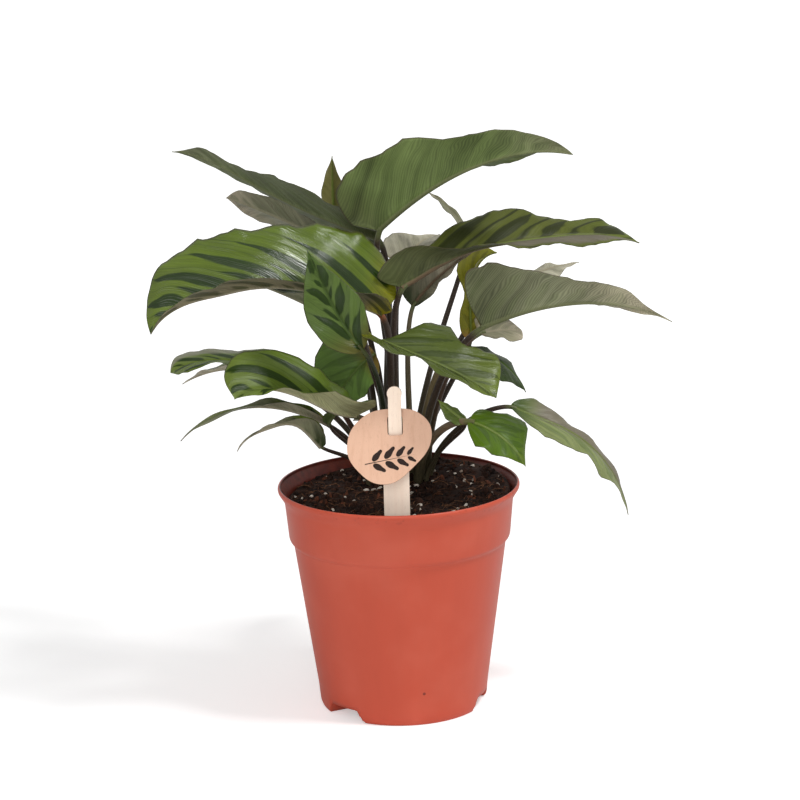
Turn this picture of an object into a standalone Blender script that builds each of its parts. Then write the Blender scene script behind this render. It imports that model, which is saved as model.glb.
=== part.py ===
"""Calathea in a 12 cm nursery pot, with potting soil, a wooden stake and a plain wooden tag.

Metres, +Z up. The origin is the bottom centre of the pot, on the floor. The tag faces -Y and +X is to
its right. Sizes and places below are in millimetres, and angles are in degrees.
"""

import math
from dataclasses import dataclass

import bmesh
import bpy
from mathutils import Matrix, Vector

MM = 0.001
# Touching pieces keep this gap.
GAP = 0.3
# A cutter stands this far above the face that it opens.
CUTTER_HEADROOM = 10.0

# The pot. Profiles are (radius, height), from the axis outwards and then up the wall.
POT_SEGMENTS = 60
POT_WALL = 1.0
POT_FLOOR_PROFILE = ((0.0, 0.0), (12.0, 0.0), (18.0, 0.0), (29.0, 0.0), (39.4, 0.0), (41.2, 1.6))
POT_WALL_PROFILE = (
    (42.2, 6.0), (42.9, 11.0), (53.2, 84.0), (55.6, 88.0), (57.3, 107.0), (58.6, 109.6), (59.8, 111.8),
    (60.0, 113.2), (59.5, 114.0),
)
# Drainage channels under the floor, by azimuth from -Y towards +X.
CHANNEL_HEIGHT = 6.5
CHANNEL_CENTRES = (-46.5, 73.5, 193.5)
CHANNEL_FLAT = 12.5
CHANNEL_FOOT = 17.5
CHANNEL_START = 12.0
CHANNEL_FULL = 18.0
DRAIN_HOLE_RADIUS = 3.5
DRAIN_HOLE_RINGS = (23.5, 34.0)

SOIL_TOP = 107.0
SOIL_EDGE_TOP = 105.8
SOIL_CROWN_RADIUS = 40.0
SOIL_WALL_CLEARANCE = 0.2
SOIL_BOTTOM = CHANNEL_HEIGHT + POT_WALL + GAP
SOIL_WALL_HEIGHTS = (SOIL_EDGE_TOP, 89.0, 83.0, SOIL_BOTTOM)

STAKE_PLACE = (-1.0, -46.0)
STAKE_THICKNESS = 1.2
STAKE_WIDTH = 12.6
STAKE_HEAD_WIDTH = 7.3
STAKE_BOTTOM = 62.0
STAKE_SHOULDER = 148.0
STAKE_SHOULDER_SLOPE = 4.0
STAKE_TOP = 175.0

TAG_SLOT_HEIGHT = 155.3
TAG_LEAN = 18.0
TAG_THICKNESS = 1.2
TAG_SLOT = (8.3, 9.4)
# (x, y) from the centre of the tag's slot, with y up the tag.
TAG_OUTLINE = (
    (-23.4, -10.0), (-16.6, 3.6), (-1.5, 8.2), (13.4, 4.6), (17.6, -5.0), (8.0, -20.6), (-6.0, -28.3),
    (-18.8, -21.2),
)

BLADE_THICKNESS = 0.7
BLADE_BASE_HALF_WIDTH = 1.1
STEM_FOOT_FACTOR = 1.25


@dataclass(frozen=True)
class Leaf:
    """One blade and its stem. A pair or a triple of angles runs from the blade's base to its tip.

    The heading turns about +Z from +X and the pitch lifts the midrib. The left and right halves fold up
    from the midrib by their own angles, and the roll turns the whole blade about it.
    """

    name: str
    start: tuple
    heading: tuple
    pitch: tuple
    length: float
    width: float
    left: tuple = (25, 15)
    right: tuple = (25, 15)
    roll: tuple = (0, 0)
    belly: float = 0.42
    blunt: float = 2.2
    taper: tuple = (1.75, 1.35)
    wave: float = 1.5
    waves: float = 3.0
    phase: float = 0.0
    root: tuple = (0, 15)
    hook: float = 0.15
    halves: tuple = (1.0, 1.0)
    rise: float = 0.4
    stem: float = 1.2
    rows: int = 8
    columns: int = 4
    tone: str = "green"


LEAVES = (
    Leaf("top_right", (-7, 10, 239), (-16, -8), (40, 22, 4), 107, 76, (58, 52), (75, 75), (10, 10),
         belly=0.16, blunt=4, taper=(1, 1), wave=2.5, root=(2, 29), hook=0.08, stem=1.6, rows=10, columns=6,
         tone="grey"),
    Leaf("top_left", (-6, 24, 233), (155, 160), (18, 19, 11), 121, 42, (0, -5), (15, 12), (-55, -45, -65),
         halves=(1, 0.85), belly=0.35, wave=3, waves=1.6, phase=2.5, root=(-6, 31.5), hook=0.08, stem=1.6,
         rows=10, tone="grey"),
    Leaf("broad_left", (-6, -8, 202), (-162, -165), (29, 3, -56), 126, 74, (40, 35), (45, 25), (18, 18),
         halves=(0.6, 1), belly=0.35, blunt=3.5, taper=(2.6, 1), wave=2, waves=2, root=(-5, 21), hook=0.1,
         stem=1.7, rows=12, columns=6, tone="bright"),
    Leaf("inner_left", (-22, -50, 197), (167, 160), (64, 64), 51, 34, (12, 5), (12, 5), (60, 60),
         blunt=2.6, wave=1, root=(-5.5, 5)),
    Leaf("young_top", (-30, 56, 236), (120, 120), (82, 86), 35, 16, (60, 50), (60, 50),
         wave=0.5, root=(-9.5, 34.5), tone="bright"),
    Leaf("upper_right", (5, -2, 214), (8, 22), (29, 2, -12), 129, 58, (45, 25), (80, -2, -15),
         halves=(1, 0.85), belly=0.3, blunt=3.5, wave=2, waves=3.5, root=(1, 24), hook=0.1, stem=1.6,
         rows=12, columns=6),
    Leaf("long_right", (42, -22, 197), (-15, -10), (26, 5, -26), 97, 60, (50, 42), (72, 65), (10, 10),
         belly=0.16, blunt=4, taper=(1, 1), wave=2, root=(11, 21), stem=1.5, rows=10, columns=6,
         tone="grey"),
    Leaf("centre_front", (-16, -38, 202), (-14, -14), (-16, -24, -40), 73, 48, (5, 28), (22, 8), (-12, -12),
         halves=(1, 0.85), belly=0.58, blunt=1.9, taper=(2, 1), root=(1, 0), hook=0.06, stem=1.4,
         columns=6),
    Leaf("small_right", (37, 14, 181), (6, 11), (-10, -65), 44, 32, (10, 5), (5, 0), (-10, -10),
         halves=(0.7, 1), wave=0.8, root=(11, 27.5), tone="dark"),
    Leaf("low_right", (35, -22, 149), (-16, -34), (-12, -60), 41, 38, (15, 8), (-5, -10), (-10, -5),
         belly=0.35, blunt=3, wave=1, root=(9.5, 17.5), tone="bright"),
    Leaf("drooping_right", (57, 8, 150), (0, 0), (-36, -34, -95), 87, 21, (25, 15), (5, -20), (-20, 0),
         wave=2, waves=4, root=(15, 24.5), rows=10),
    Leaf("front_left", (-20, -28, 156), (-158, -164, -90), (29, 18, -60), 80, 46, (60, -20), (38, 15),
         (20, 0), belly=0.4, blunt=3, taper=(3, 1.2), root=(-8.5, 16.5), stem=1.4, rows=10, columns=6),
    Leaf("middle_left", (-38, 18, 158), (163, 163, 200), (22, 8, -50), 86, 30, (10, -10), (10, 5), (5, 0),
         taper=(3, 1.2), root=(-14.5, 26), rows=10),
    Leaf("thin_left", (-71, 36, 164), (143, 149), (2, -32), 50, 12, wave=0.6, root=(-13.5, 31), rows=6,
         tone="grey"),
    Leaf("low_left", (-35, 4, 144), (-170, -166), (32, 0, -48), 80, 17, (40, 40), (50, 40),
         belly=0.3, taper=(1, 1), wave=1, root=(-14.5, 23), rows=10, tone="grey"),
    Leaf("lowest_left", (-38, -15, 137), (-160, -166), (48, -2, -60), 53, 24, (30, 50), (60, 60),
         belly=0.25, taper=(1, 1), wave=1, root=(-14.5, 18), stem=0.9),
    Leaf("shaded_centre", (-12, 3, 180), (180, 180), (-35, -75), 40, 44, (10, 5), (10, 5), (60, 60),
         blunt=3, wave=1, root=(-7, 26), hook=0.06, tone="dark"),
    Leaf("rear_left", (-32, 62, 226), (143, 143), (18, 10), 70, 34, roll=(-55, -55),
         wave=2.5, waves=2, root=(-5, 35), tone="grey"),
    Leaf("rear_centre", (4, 60, 214), (72, 56), (20, 0), 46, 32, wave=1, root=(0, 33.5), rows=6,
         tone="grey"),
    Leaf("rear_top", (40, 54, 226), (134, 129), (50, 13), 40, 20, wave=0.8, root=(7.5, 35), hook=0.06,
         rows=6, tone="grey"),
    Leaf("rear_right", (56, 46, 204), (44, 42), (10, -2), 56, 28, root=(15, 33.5), rise=0.55, rows=6,
         tone="grey"),
    Leaf("rear_low", (-4, 50, 121), (95, 92), (16, -50), 70, 34, wave=1.2, root=(2.5, 37)),
    Leaf("under_right", (42, 2, 188), (24, 20), (4, -24), 24, 34, blunt=3, wave=0.6, root=(14.5, 28), rows=6,
         tone="grey"),
    Leaf("yellowing", (42, 32, 175), (100, 20), (85, 62), 42, 22, (30, 30), (30, 30),
         wave=1, root=(9.5, 30.5), rows=6, tone="yellow"),
    Leaf("rear_inner", (9, 18, 200), (33, 20), (44, 24), 44, 36, roll=(-45, -45), root=(7, 29.5), hook=0.1,
         tone="grey"),
    Leaf("under_left", (-24, 12, 195), (-160, -167), (30, 12), 48, 26, wave=1, root=(-10, 29), rise=0.6,
         rows=6, tone="dark"),
    Leaf("sprout_left", (-34, -8, 147), (-20, -60), (60, 20), 16, 14, wave=0.4, root=(-11, 19), stem=0.8,
         rows=4, tone="bright"),
    Leaf("sprout_right", (34, -18, 149), (165, 165), (30, 45), 18, 9, wave=0.4, root=(13.5, 18), stem=0.8,
         rows=4, tone="grey"),
)

TONES = {
    "green": (0.10, 0.17, 0.045),
    "bright": (0.17, 0.28, 0.05),
    "dark": (0.05, 0.10, 0.03),
    "grey": (0.16, 0.20, 0.12),
    "yellow": (0.42, 0.36, 0.10),
}
STEM_COLOUR = (0.075, 0.062, 0.038)
POT_COLOUR = (0.52, 0.115, 0.065)
SOIL_COLOUR = (0.022, 0.014, 0.011)
WOOD_COLOUR = (0.80, 0.58, 0.38)


def clear_scene():
    """Remove every object that the file starts with."""
    for obj in list(bpy.data.objects):
        bpy.data.objects.remove(obj, do_unlink=True)


def named_collection(name, hidden=False):
    """Link a new collection to the scene."""
    collection = bpy.data.collections.new(name)
    bpy.context.scene.collection.children.link(collection)
    collection.hide_render = hidden
    return collection


def principled(name, colour, roughness):
    """A plain Principled material for one sub-part."""
    material = bpy.data.materials.new(name)
    material.use_nodes = True
    shader = material.node_tree.nodes["Principled BSDF"]
    shader.inputs["Base Color"].default_value = (*colour, 1.0)
    shader.inputs["Roughness"].default_value = roughness
    shader.inputs["Metallic"].default_value = 0.0
    return material


def mesh_object(name, bm, collection, material=None):
    """Turn a bmesh that was built in millimetres into an object in metres."""
    bmesh.ops.scale(bm, verts=bm.verts, vec=(MM, MM, MM))
    mesh = bpy.data.meshes.new(name)
    bm.to_mesh(mesh)
    bm.free()
    obj = bpy.data.objects.new(name, mesh)
    collection.objects.link(obj)
    if material:
        mesh.materials.append(material)
    return obj


def turned(profile, segments):
    """Spin a profile of (radius, height) points about +Z and weld its seam and its pole."""
    bm = bmesh.new()
    ring = [bm.verts.new((radius, 0, height)) for radius, height in profile]
    edges = [bm.edges.new(pair) for pair in zip(ring, ring[1:])]
    bmesh.ops.spin(bm, geom=ring + edges, axis=(0, 0, 1), cent=(0, 0, 0), angle=math.tau, steps=segments)
    bmesh.ops.remove_doubles(bm, verts=bm.verts, dist=0.01)
    bmesh.ops.recalc_face_normals(bm, faces=bm.faces)
    return bm


def solidify(obj, thickness, offset, even):
    """Give an open surface its wall."""
    modifier = obj.modifiers.new("Wall", "SOLIDIFY")
    modifier.thickness = thickness * MM
    modifier.offset = offset
    modifier.use_even_offset = even
    return modifier


def cut(obj, cutter):
    """Take a hidden cutter away from an object."""
    cutter.display_type = "WIRE"
    cutter.hide_render = True
    modifier = obj.modifiers.new(cutter.name, "BOOLEAN")
    modifier.operation = "DIFFERENCE"
    modifier.solver = "EXACT"
    modifier.object = cutter


def channel_lift(vertex):
    """Height that the drainage channels give to a point of the pot's outer skin."""
    radius = math.hypot(vertex.co.x, vertex.co.y)
    if radius <= CHANNEL_START:
        return 0.0
    azimuth = math.degrees(math.atan2(vertex.co.x, -vertex.co.y))
    away = min(abs((azimuth - centre + 180) % 360 - 180) for centre in CHANNEL_CENTRES)
    side = (CHANNEL_FOOT - away) / (CHANNEL_FOOT - CHANNEL_FLAT)
    ramp = (radius - CHANNEL_START) / (CHANNEL_FULL - CHANNEL_START)
    return CHANNEL_HEIGHT * max(0.0, min(1.0, side)) * min(1.0, ramp)


def make_pot(collection, cutters):
    """The nursery pot: a thin wall with a collar, a flared lip and three raised drainage channels."""
    bm = turned(POT_FLOOR_PROFILE + POT_WALL_PROFILE, POT_SEGMENTS)
    first_turn = Matrix.Rotation(math.radians(CHANNEL_CENTRES[0]), 4, "Z")
    bmesh.ops.transform(bm, matrix=first_turn, verts=bm.verts)
    for vertex in bm.verts:
        vertex.co.z = max(vertex.co.z, channel_lift(vertex))
    pot = mesh_object("pot", bm, collection, principled("terracotta_plastic", POT_COLOUR, 0.45))
    solidify(pot, POT_WALL, -1.0, True)
    holes = bmesh.new()
    for centre in CHANNEL_CENTRES:
        azimuth = math.radians(centre)
        for radius in DRAIN_HOLE_RINGS:
            x = radius * math.sin(azimuth)
            y = -radius * math.cos(azimuth)
            bmesh.ops.create_cone(
                holes, cap_ends=True, segments=16, radius1=DRAIN_HOLE_RADIUS, radius2=DRAIN_HOLE_RADIUS,
                depth=4 * POT_WALL, matrix=Matrix.Translation((x, y, CHANNEL_HEIGHT)),
            )
    cut(pot, mesh_object("drain_holes", holes, cutters))
    return pot


def inner_radius(height):
    """Radius of the pot's inside at a height, less the gap that the soil keeps."""
    for (low_radius, low), (high_radius, high) in zip(POT_WALL_PROFILE, POT_WALL_PROFILE[1:]):
        if low <= height <= high:
            radius = low_radius + (high_radius - low_radius) * (height - low) / (high - low)
            return radius - POT_WALL - GAP
    return POT_WALL_PROFILE[0][0] - POT_WALL - GAP


def make_soil(collection, cutters):
    """The potting soil, flat over the crown and a little lower at the wall, with a slot for the stake."""
    profile = [(0.0, SOIL_TOP), (SOIL_CROWN_RADIUS, SOIL_TOP)]
    profile += [(inner_radius(height) - SOIL_WALL_CLEARANCE, height) for height in SOIL_WALL_HEIGHTS]
    profile += [(0.0, SOIL_BOTTOM)]
    soil = mesh_object(
        "soil", turned(profile, POT_SEGMENTS), collection, principled("potting_soil", SOIL_COLOUR, 0.95)
    )
    slot = bmesh.new()
    bottom = STAKE_BOTTOM - GAP
    depth = SOIL_TOP + CUTTER_HEADROOM - bottom
    slot_size = (STAKE_WIDTH + 2 * GAP, STAKE_THICKNESS + 2 * GAP, depth)
    bmesh.ops.create_cube(slot, size=1.0)
    bmesh.ops.scale(slot, verts=slot.verts, vec=slot_size)
    bmesh.ops.translate(slot, verts=slot.verts, vec=(*STAKE_PLACE, bottom + depth / 2))
    cut(soil, mesh_object("stake_slot", slot, cutters))
    return soil


def flat_curve(name, outlines, thickness, collection, material):
    """A flat sheet from closed outlines. Each outline is (points, handle type) and later ones are holes."""
    curve = bpy.data.curves.new(name, "CURVE")
    curve.dimensions = "2D"
    curve.fill_mode = "BOTH"
    curve.extrude = thickness / 2 * MM
    curve.resolution_u = 5
    for points, handle in outlines:
        spline = curve.splines.new("BEZIER")
        spline.bezier_points.add(len(points) - 1)
        spline.use_cyclic_u = True
        for point, (x, y) in zip(spline.bezier_points, points):
            point.co = (x * MM, y * MM, 0)
            point.handle_left_type = handle
            point.handle_right_type = handle
    curve.materials.append(material)
    obj = bpy.data.objects.new(name, curve)
    collection.objects.link(obj)
    return obj


def make_stake(collection):
    """The flat wooden stake: wide in the soil, with a narrow rounded head above the tag."""
    half = STAKE_WIDTH / 2
    head = STAKE_HEAD_WIDTH / 2
    turn = [math.radians(angle) for angle in (0, 36, 72, 108, 144, 180)]
    crown = [(head * math.cos(angle), STAKE_TOP - head + head * math.sin(angle)) for angle in turn]
    shoulder = STAKE_SHOULDER - STAKE_SHOULDER_SLOPE
    points = [(-half, STAKE_BOTTOM), (half, STAKE_BOTTOM), (half, shoulder), (head, STAKE_SHOULDER)]
    points += crown + [(-head, STAKE_SHOULDER), (-half, shoulder)]
    stake = flat_curve(
        "stake", [(points, "VECTOR")], STAKE_THICKNESS, collection, principled("stake_wood", WOOD_COLOUR, 0.6)
    )
    stake.rotation_euler = (math.radians(90), 0, 0)
    stake.location = (STAKE_PLACE[0] * MM, STAKE_PLACE[1] * MM, 0)
    return stake


def make_tag(collection):
    """The rounded wooden tag. The stake's head passes through its slot, and it leans back at the top."""
    half_width = TAG_SLOT[0] / 2
    half_height = TAG_SLOT[1] / 2
    slot = [(-half_width, -half_height), (half_width, -half_height)]
    slot += [(half_width, half_height), (-half_width, half_height)]
    tag = flat_curve(
        "tag", [(TAG_OUTLINE, "AUTO"), (slot, "VECTOR")], TAG_THICKNESS, collection,
        principled("tag_wood", WOOD_COLOUR, 0.6),
    )
    tag.rotation_euler = (math.radians(90 - TAG_LEAN), 0, 0)
    tag.location = (STAKE_PLACE[0] * MM, STAKE_PLACE[1] * MM, TAG_SLOT_HEIGHT * MM)
    return tag


def along(values, t):
    """A value at t from 0 to 1, straight between two values or a parabola through three."""
    if len(values) == 2:
        return values[0] + (values[1] - values[0]) * t
    first, middle, last = values
    return first * (1 - t) * (1 - 2 * t) + middle * 4 * t * (1 - t) + last * t * (2 * t - 1)


def direction(leaf, t):
    """Unit vector along the midrib at t."""
    heading = math.radians(along(leaf.heading, t))
    pitch = math.radians(along(leaf.pitch, t))
    level = math.cos(pitch)
    return Vector((level * math.cos(heading), level * math.sin(heading), math.sin(pitch)))


def half_width(leaf, t):
    """Half of the blade's width at t: a blunt rise to the belly, then a taper to the tip."""
    if t < leaf.belly:
        share = math.sqrt(max(0.0, 1 - (1 - t / leaf.belly) ** leaf.blunt))
    else:
        share = (1 - ((t - leaf.belly) / (1 - leaf.belly)) ** leaf.taper[0]) ** leaf.taper[1]
    return max(leaf.width / 2 * share, BLADE_BASE_HALF_WIDTH)


def midrib(leaf):
    """Points of the midrib, one for each row of the blade's grid."""
    points = [Vector(leaf.start)]
    for row in range(leaf.rows):
        step = direction(leaf, row / leaf.rows) + direction(leaf, (row + 1) / leaf.rows)
        points.append(points[-1] + step * (leaf.length / leaf.rows / 2))
    return points


def blade_point(leaf, points, row, across):
    """A point of the blade's middle surface. The value across runs from -1 on the left to 1 on the right."""
    t = row / leaf.rows
    tangent = direction(leaf, t)
    heading = math.radians(along(leaf.heading, t))
    level_side = Vector((math.sin(heading), -math.cos(heading), 0))
    level_normal = level_side.cross(tangent)
    roll = math.radians(along(leaf.roll, t))
    side = level_side * math.cos(roll) + level_normal * math.sin(roll)
    normal = level_normal * math.cos(roll) - level_side * math.sin(roll)
    fold = math.radians(along(leaf.right if across >= 0 else leaf.left, t))
    reach = half_width(leaf, t) * across * leaf.halves[across >= 0]
    phase = leaf.phase + (2.1 if across < 0 else 0.0)
    ripple = leaf.wave * across ** 2 * math.sin(math.tau * leaf.waves * t + phase) * math.sin(math.pi * t)
    lift = abs(reach) * math.sin(fold) + ripple
    return points[row] + side * (reach * math.cos(fold)) + normal * lift


def make_blade(leaf, collection):
    """A leaf blade: a grid laid along the midrib, folded, rippled and given its thickness."""
    bm = bmesh.new()
    bmesh.ops.create_grid(bm, x_segments=leaf.rows, y_segments=leaf.columns, size=0.5)
    points = midrib(leaf)
    for vertex in bm.verts:
        row = round((vertex.co.x + 0.5) * leaf.rows)
        vertex.co = blade_point(leaf, points, row, 2 * vertex.co.y)
    material = principled("blade_" + leaf.name, TONES[leaf.tone], 0.4)
    blade = mesh_object("blade_" + leaf.name, bm, collection, material)
    solidify(blade, BLADE_THICKNESS, 0.0, False)
    return blade


def make_stem(leaf, collection):
    """A leaf stem: a tube that rises from the soil and meets the base of its blade."""
    foot = Vector((*leaf.root, SOIL_TOP + GAP))
    tangent = direction(leaf, 0.0)
    top = Vector(leaf.start) - tangent * GAP
    reach = (top - foot).length
    curve = bpy.data.curves.new("stem_" + leaf.name, "CURVE")
    curve.dimensions = "3D"
    curve.bevel_depth = leaf.stem * MM
    curve.bevel_resolution = 1
    curve.resolution_u = 7
    curve.use_fill_caps = True
    spline = curve.splines.new("BEZIER")
    spline.bezier_points.add(1)
    ends = (
        (foot, Vector((0, 0, 1)) * reach * leaf.rise, STEM_FOOT_FACTOR),
        (top, tangent * reach * leaf.hook, 1.0),
    )
    for point, (place, handle, radius) in zip(spline.bezier_points, ends):
        point.handle_left_type = "FREE"
        point.handle_right_type = "FREE"
        point.co = place * MM
        point.handle_left = (place - handle) * MM
        point.handle_right = (place + handle) * MM
        point.radius = radius
    curve.materials.append(principled("stem_" + leaf.name, STEM_COLOUR, 0.5))
    stem = bpy.data.objects.new("stem_" + leaf.name, curve)
    collection.objects.link(stem)
    return stem


def main():
    clear_scene()
    collection = named_collection("potted_calathea")
    cutters = named_collection("cutters", hidden=True)
    plant = bpy.data.objects.new("potted_calathea", None)
    collection.objects.link(plant)
    pieces = [
        make_pot(collection, cutters),
        make_soil(collection, cutters),
        make_stake(collection),
        make_tag(collection),
    ]
    for leaf in LEAVES:
        pieces.append(make_stem(leaf, collection))
        pieces.append(make_blade(leaf, collection))
    for piece in pieces:
        piece.parent = plant


main()
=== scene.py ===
"""Looks for a young striped-leaf calathea in its nursery pot.

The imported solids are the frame. Each one is replaced by a finer piece in the same place: veined and
striped leaves on jointed stems, loose potting soil, a moulded pot, and a bare wooden stake with its tag.
Sizes in this file are in millimetres and angles in degrees, and meshes are written in metres.
"""

import logging
import math
from collections.abc import Callable
from dataclasses import asdict, dataclass, replace
from enum import Enum

import bmesh
import bpy
import numpy as np
from mathutils import Matrix, Vector

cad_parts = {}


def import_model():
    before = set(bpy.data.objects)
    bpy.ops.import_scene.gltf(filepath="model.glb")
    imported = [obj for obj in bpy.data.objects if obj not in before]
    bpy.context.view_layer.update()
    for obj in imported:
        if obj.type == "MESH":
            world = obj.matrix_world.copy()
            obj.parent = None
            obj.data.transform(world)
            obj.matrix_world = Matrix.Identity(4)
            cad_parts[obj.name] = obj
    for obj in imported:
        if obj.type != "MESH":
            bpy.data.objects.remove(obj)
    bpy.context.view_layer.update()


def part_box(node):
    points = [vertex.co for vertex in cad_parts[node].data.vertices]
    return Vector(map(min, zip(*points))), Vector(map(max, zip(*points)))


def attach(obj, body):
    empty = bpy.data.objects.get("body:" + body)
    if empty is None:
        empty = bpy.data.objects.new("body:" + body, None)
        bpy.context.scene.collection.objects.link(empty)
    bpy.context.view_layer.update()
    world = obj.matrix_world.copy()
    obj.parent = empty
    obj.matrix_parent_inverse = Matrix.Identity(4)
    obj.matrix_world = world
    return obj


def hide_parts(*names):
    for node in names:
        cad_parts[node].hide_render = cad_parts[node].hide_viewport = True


LOG = logging.getLogger("potted_calathea")
MM = 0.001
# Points closer than this, in millimetres, are joined: in turned shapes and in flat sheets.
TURNED_WELD = 0.01
SHEET_WELD = 0.005
ROOT_BODY = "root"
# How far the pot's lip stands out past its solid, in millimetres.
LIP_OVERHANG = 0.6

Tint = tuple[int, int, int]
Point = tuple[float, float]


def linear(tint: Tint) -> tuple[float, float, float, float]:
    """Turn a display colour into the linear colour that shaders take.

    Args:
        tint: Red, green and blue from 0 to 255.

    Returns:
        Linear red, green, blue and an alpha of 1.
    """
    shares = [value / 255 for value in tint]
    return (*[c / 12.92 if c <= 0.04045 else ((c + 0.055) / 1.055) ** 2.4 for c in shares], 1.0)


# Node trees ------------------------------------------------------------------


def operator(operation: str, swapped: bool = False) -> Callable:
    """Make the method that stands for an operator and writes one math node.

    Args:
        operation: The math node's operation.
        swapped: Whether the wire is the second value.

    Returns:
        The method.
    """

    def write(wire: "Wire", other: "Wire | float") -> "Wire":
        """Write the node."""
        return wire.graph.math(operation, *((other, wire) if swapped else (wire, other)))

    return write


class Wire:
    """A node's output that can be reckoned with: each operator writes a math node."""

    __add__, __radd__ = operator("ADD"), operator("ADD", swapped=True)
    __sub__, __rsub__ = operator("SUBTRACT"), operator("SUBTRACT", swapped=True)
    __mul__, __rmul__ = operator("MULTIPLY"), operator("MULTIPLY", swapped=True)
    __truediv__, __pow__, __gt__ = operator("DIVIDE"), operator("POWER"), operator("GREATER_THAN")

    def __init__(self, graph: "Graph", socket: bpy.types.NodeSocket) -> None:
        """Keep the socket and the graph that it belongs to."""
        self.graph, self.socket = graph, socket

    def __abs__(self) -> "Wire":
        """The value without its sign."""
        return self.graph.math("ABSOLUTE", self)


Value = Wire | float | tuple


class Graph:
    """A node tree that is written call by call, for shaders and for geometry alike."""

    def __init__(self, tree: bpy.types.NodeTree) -> None:
        """Keep the tree that the calls add to."""
        self.tree = tree

    def node(self, kind: str, inputs: dict | None = None, **settings: object) -> bpy.types.Node:
        """Add one node.

        Args:
            kind: The node's type name.
            inputs: Values or wires for its inputs, by name or by index.
            settings: Properties of the node.

        Returns:
            The new node.
        """
        made = self.tree.nodes.new(kind)
        for name, value in settings.items():
            setattr(made, name, value)
        for key, value in (inputs or {}).items():
            self.feed(made.inputs[key], value)
        return made

    def wire(
        self, kind: str, inputs: dict | None = None, output: str | int = 0, **settings: object
    ) -> Wire:
        """Add one node and return one of its outputs, by name or by index."""
        return Wire(self, self.node(kind, inputs, **settings).outputs[output])

    def feed(self, socket: bpy.types.NodeSocket, value: Value) -> None:
        """Link a wire to an input, or write a constant on it.

        Args:
            socket: The input.
            value: A wire, or a constant of the input's own kind.
        """
        if isinstance(value, Wire):
            self.tree.links.new(value.socket, socket)
        else:
            socket.default_value = value

    def math(self, operation: str, *values: Value) -> Wire:
        """Add a math node and return its result."""
        return self.wire("ShaderNodeMath", dict(enumerate(values)), operation=operation)

    def ramp(self, value: Wire, low: Value, high: Value, start: float = 0.0, end: float = 1.0) -> Wire:
        """Ease from start to end while the value goes from low to high."""
        inputs = {0: value, 1: low, 2: high, 3: start, 4: end}
        return self.wire("ShaderNodeMapRange", inputs, interpolation_type="SMOOTHSTEP")

    def blend(self, share: Value, first: Wire | Tint, second: Wire | Tint, mode: str = "MIX") -> Wire:
        """Mix two colours, each a wire or a display colour.

        Args:
            share: How much of the second colour shows.
            first: The colour at 0.
            second: The colour at 1.
            mode: The node's way of mixing.

        Returns:
            The mixed colour.
        """
        first, second = (linear(item) if isinstance(item, tuple) else item for item in (first, second))
        return self.wire(
            "ShaderNodeMix", {0: share, 6: first, 7: second}, 2, data_type="RGBA", blend_type=mode
        )

    def toned(self, colour: Wire, tone: Wire) -> Wire:
        """Multiply a colour by a brightness."""
        return self.blend(1.0, colour, self.vector(tone, tone, tone), "MULTIPLY")

    def noise(self, place: Wire, scale: Value, detail: float = 2.0, rough: float = 0.5) -> Wire:
        """Add a noise texture and return its value, which is about 0.5 on average."""
        inputs = {"Vector": place, "Scale": scale, "Detail": detail, "Roughness": rough}
        return self.wire("ShaderNodeTexNoise", inputs, "Fac")

    def drift(self, place: Wire, scale: float, detail: float, size: Wire) -> Wire:
        """A noisy vector about zero, scaled by a size."""
        noise = self.wire("ShaderNodeTexNoise", {"Vector": place, "Scale": scale, "Detail": detail}, "Color")
        centred = self.wire("ShaderNodeVectorMath", {0: noise, 1: (0.5, 0.5, 0.5)}, operation="SUBTRACT")
        return self.wire("ShaderNodeVectorMath", {0: centred, "Scale": size}, operation="SCALE")

    def vector(self, x: Value, y: Value, z: Value = 0.0) -> Wire:
        """Combine three numbers."""
        return self.wire("ShaderNodeCombineXYZ", {0: x, 1: y, 2: z})

    def parts(self, vector: Wire) -> list[Wire]:
        """Separate a vector into its three numbers."""
        return [Wire(self, socket) for socket in self.node("ShaderNodeSeparateXYZ", {0: vector}).outputs]

    def radius(self, x: Wire, y: Wire) -> Wire:
        """Distance from the Z axis."""
        return self.math("SQRT", x * x + y * y)

    def place(self) -> Wire:
        """The point's place in the piece's own coordinates, in metres."""
        return self.wire("ShaderNodeTexCoord", output="Object")

    def attribute(self, name: str, output: str = "Fac") -> Wire:
        """Read a mesh attribute in a shader."""
        return self.wire("ShaderNodeAttribute", output=output, attribute_name=name)


class GroupKind:
    """A shader node group that is built once and placed in many materials."""

    name: str = ""
    inputs: dict[str, float] = {}
    outputs: tuple[str, ...] = ()

    def draw(self, graph: Graph, given: dict[str, Wire]) -> dict[str, Wire]:
        """Write the group's nodes and return its outputs by name.

        Args:
            graph: The tree's graph.
            given: The group's inputs by name.

        Returns:
            The group's outputs by name.
        """
        raise NotImplementedError

    def tree(self) -> bpy.types.NodeTree:
        """Return the group's tree, and build it the first time.

        Returns:
            The group's tree.
        """
        found = bpy.data.node_groups.get(self.name)
        if found:
            return found
        made = bpy.data.node_groups.new(self.name, "ShaderNodeTree")
        for label, default in self.inputs.items():
            socket = made.interface.new_socket(label, in_out="INPUT", socket_type="NodeSocketFloat")
            socket.default_value = default
        for label in self.outputs:
            made.interface.new_socket(label, in_out="OUTPUT", socket_type="NodeSocketFloat")
        graph = Graph(made)
        source, sink = graph.node("NodeGroupInput"), graph.node("NodeGroupOutput")
        given = {label: Wire(graph, source.outputs[label]) for label in self.inputs}
        for label, wire in self.draw(graph, given).items():
            graph.feed(sink.inputs[label], wire)
        return made

    def add(self, graph: Graph, **values: float) -> dict[str, Wire]:
        """Place the group in a material.

        Args:
            graph: The material's graph.
            values: Inputs by name.

        Returns:
            The group's outputs by name.
        """
        node = graph.node("ShaderNodeGroup", values, node_tree=self.tree())
        return {label: Wire(graph, node.outputs[label]) for label in self.outputs}


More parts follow.
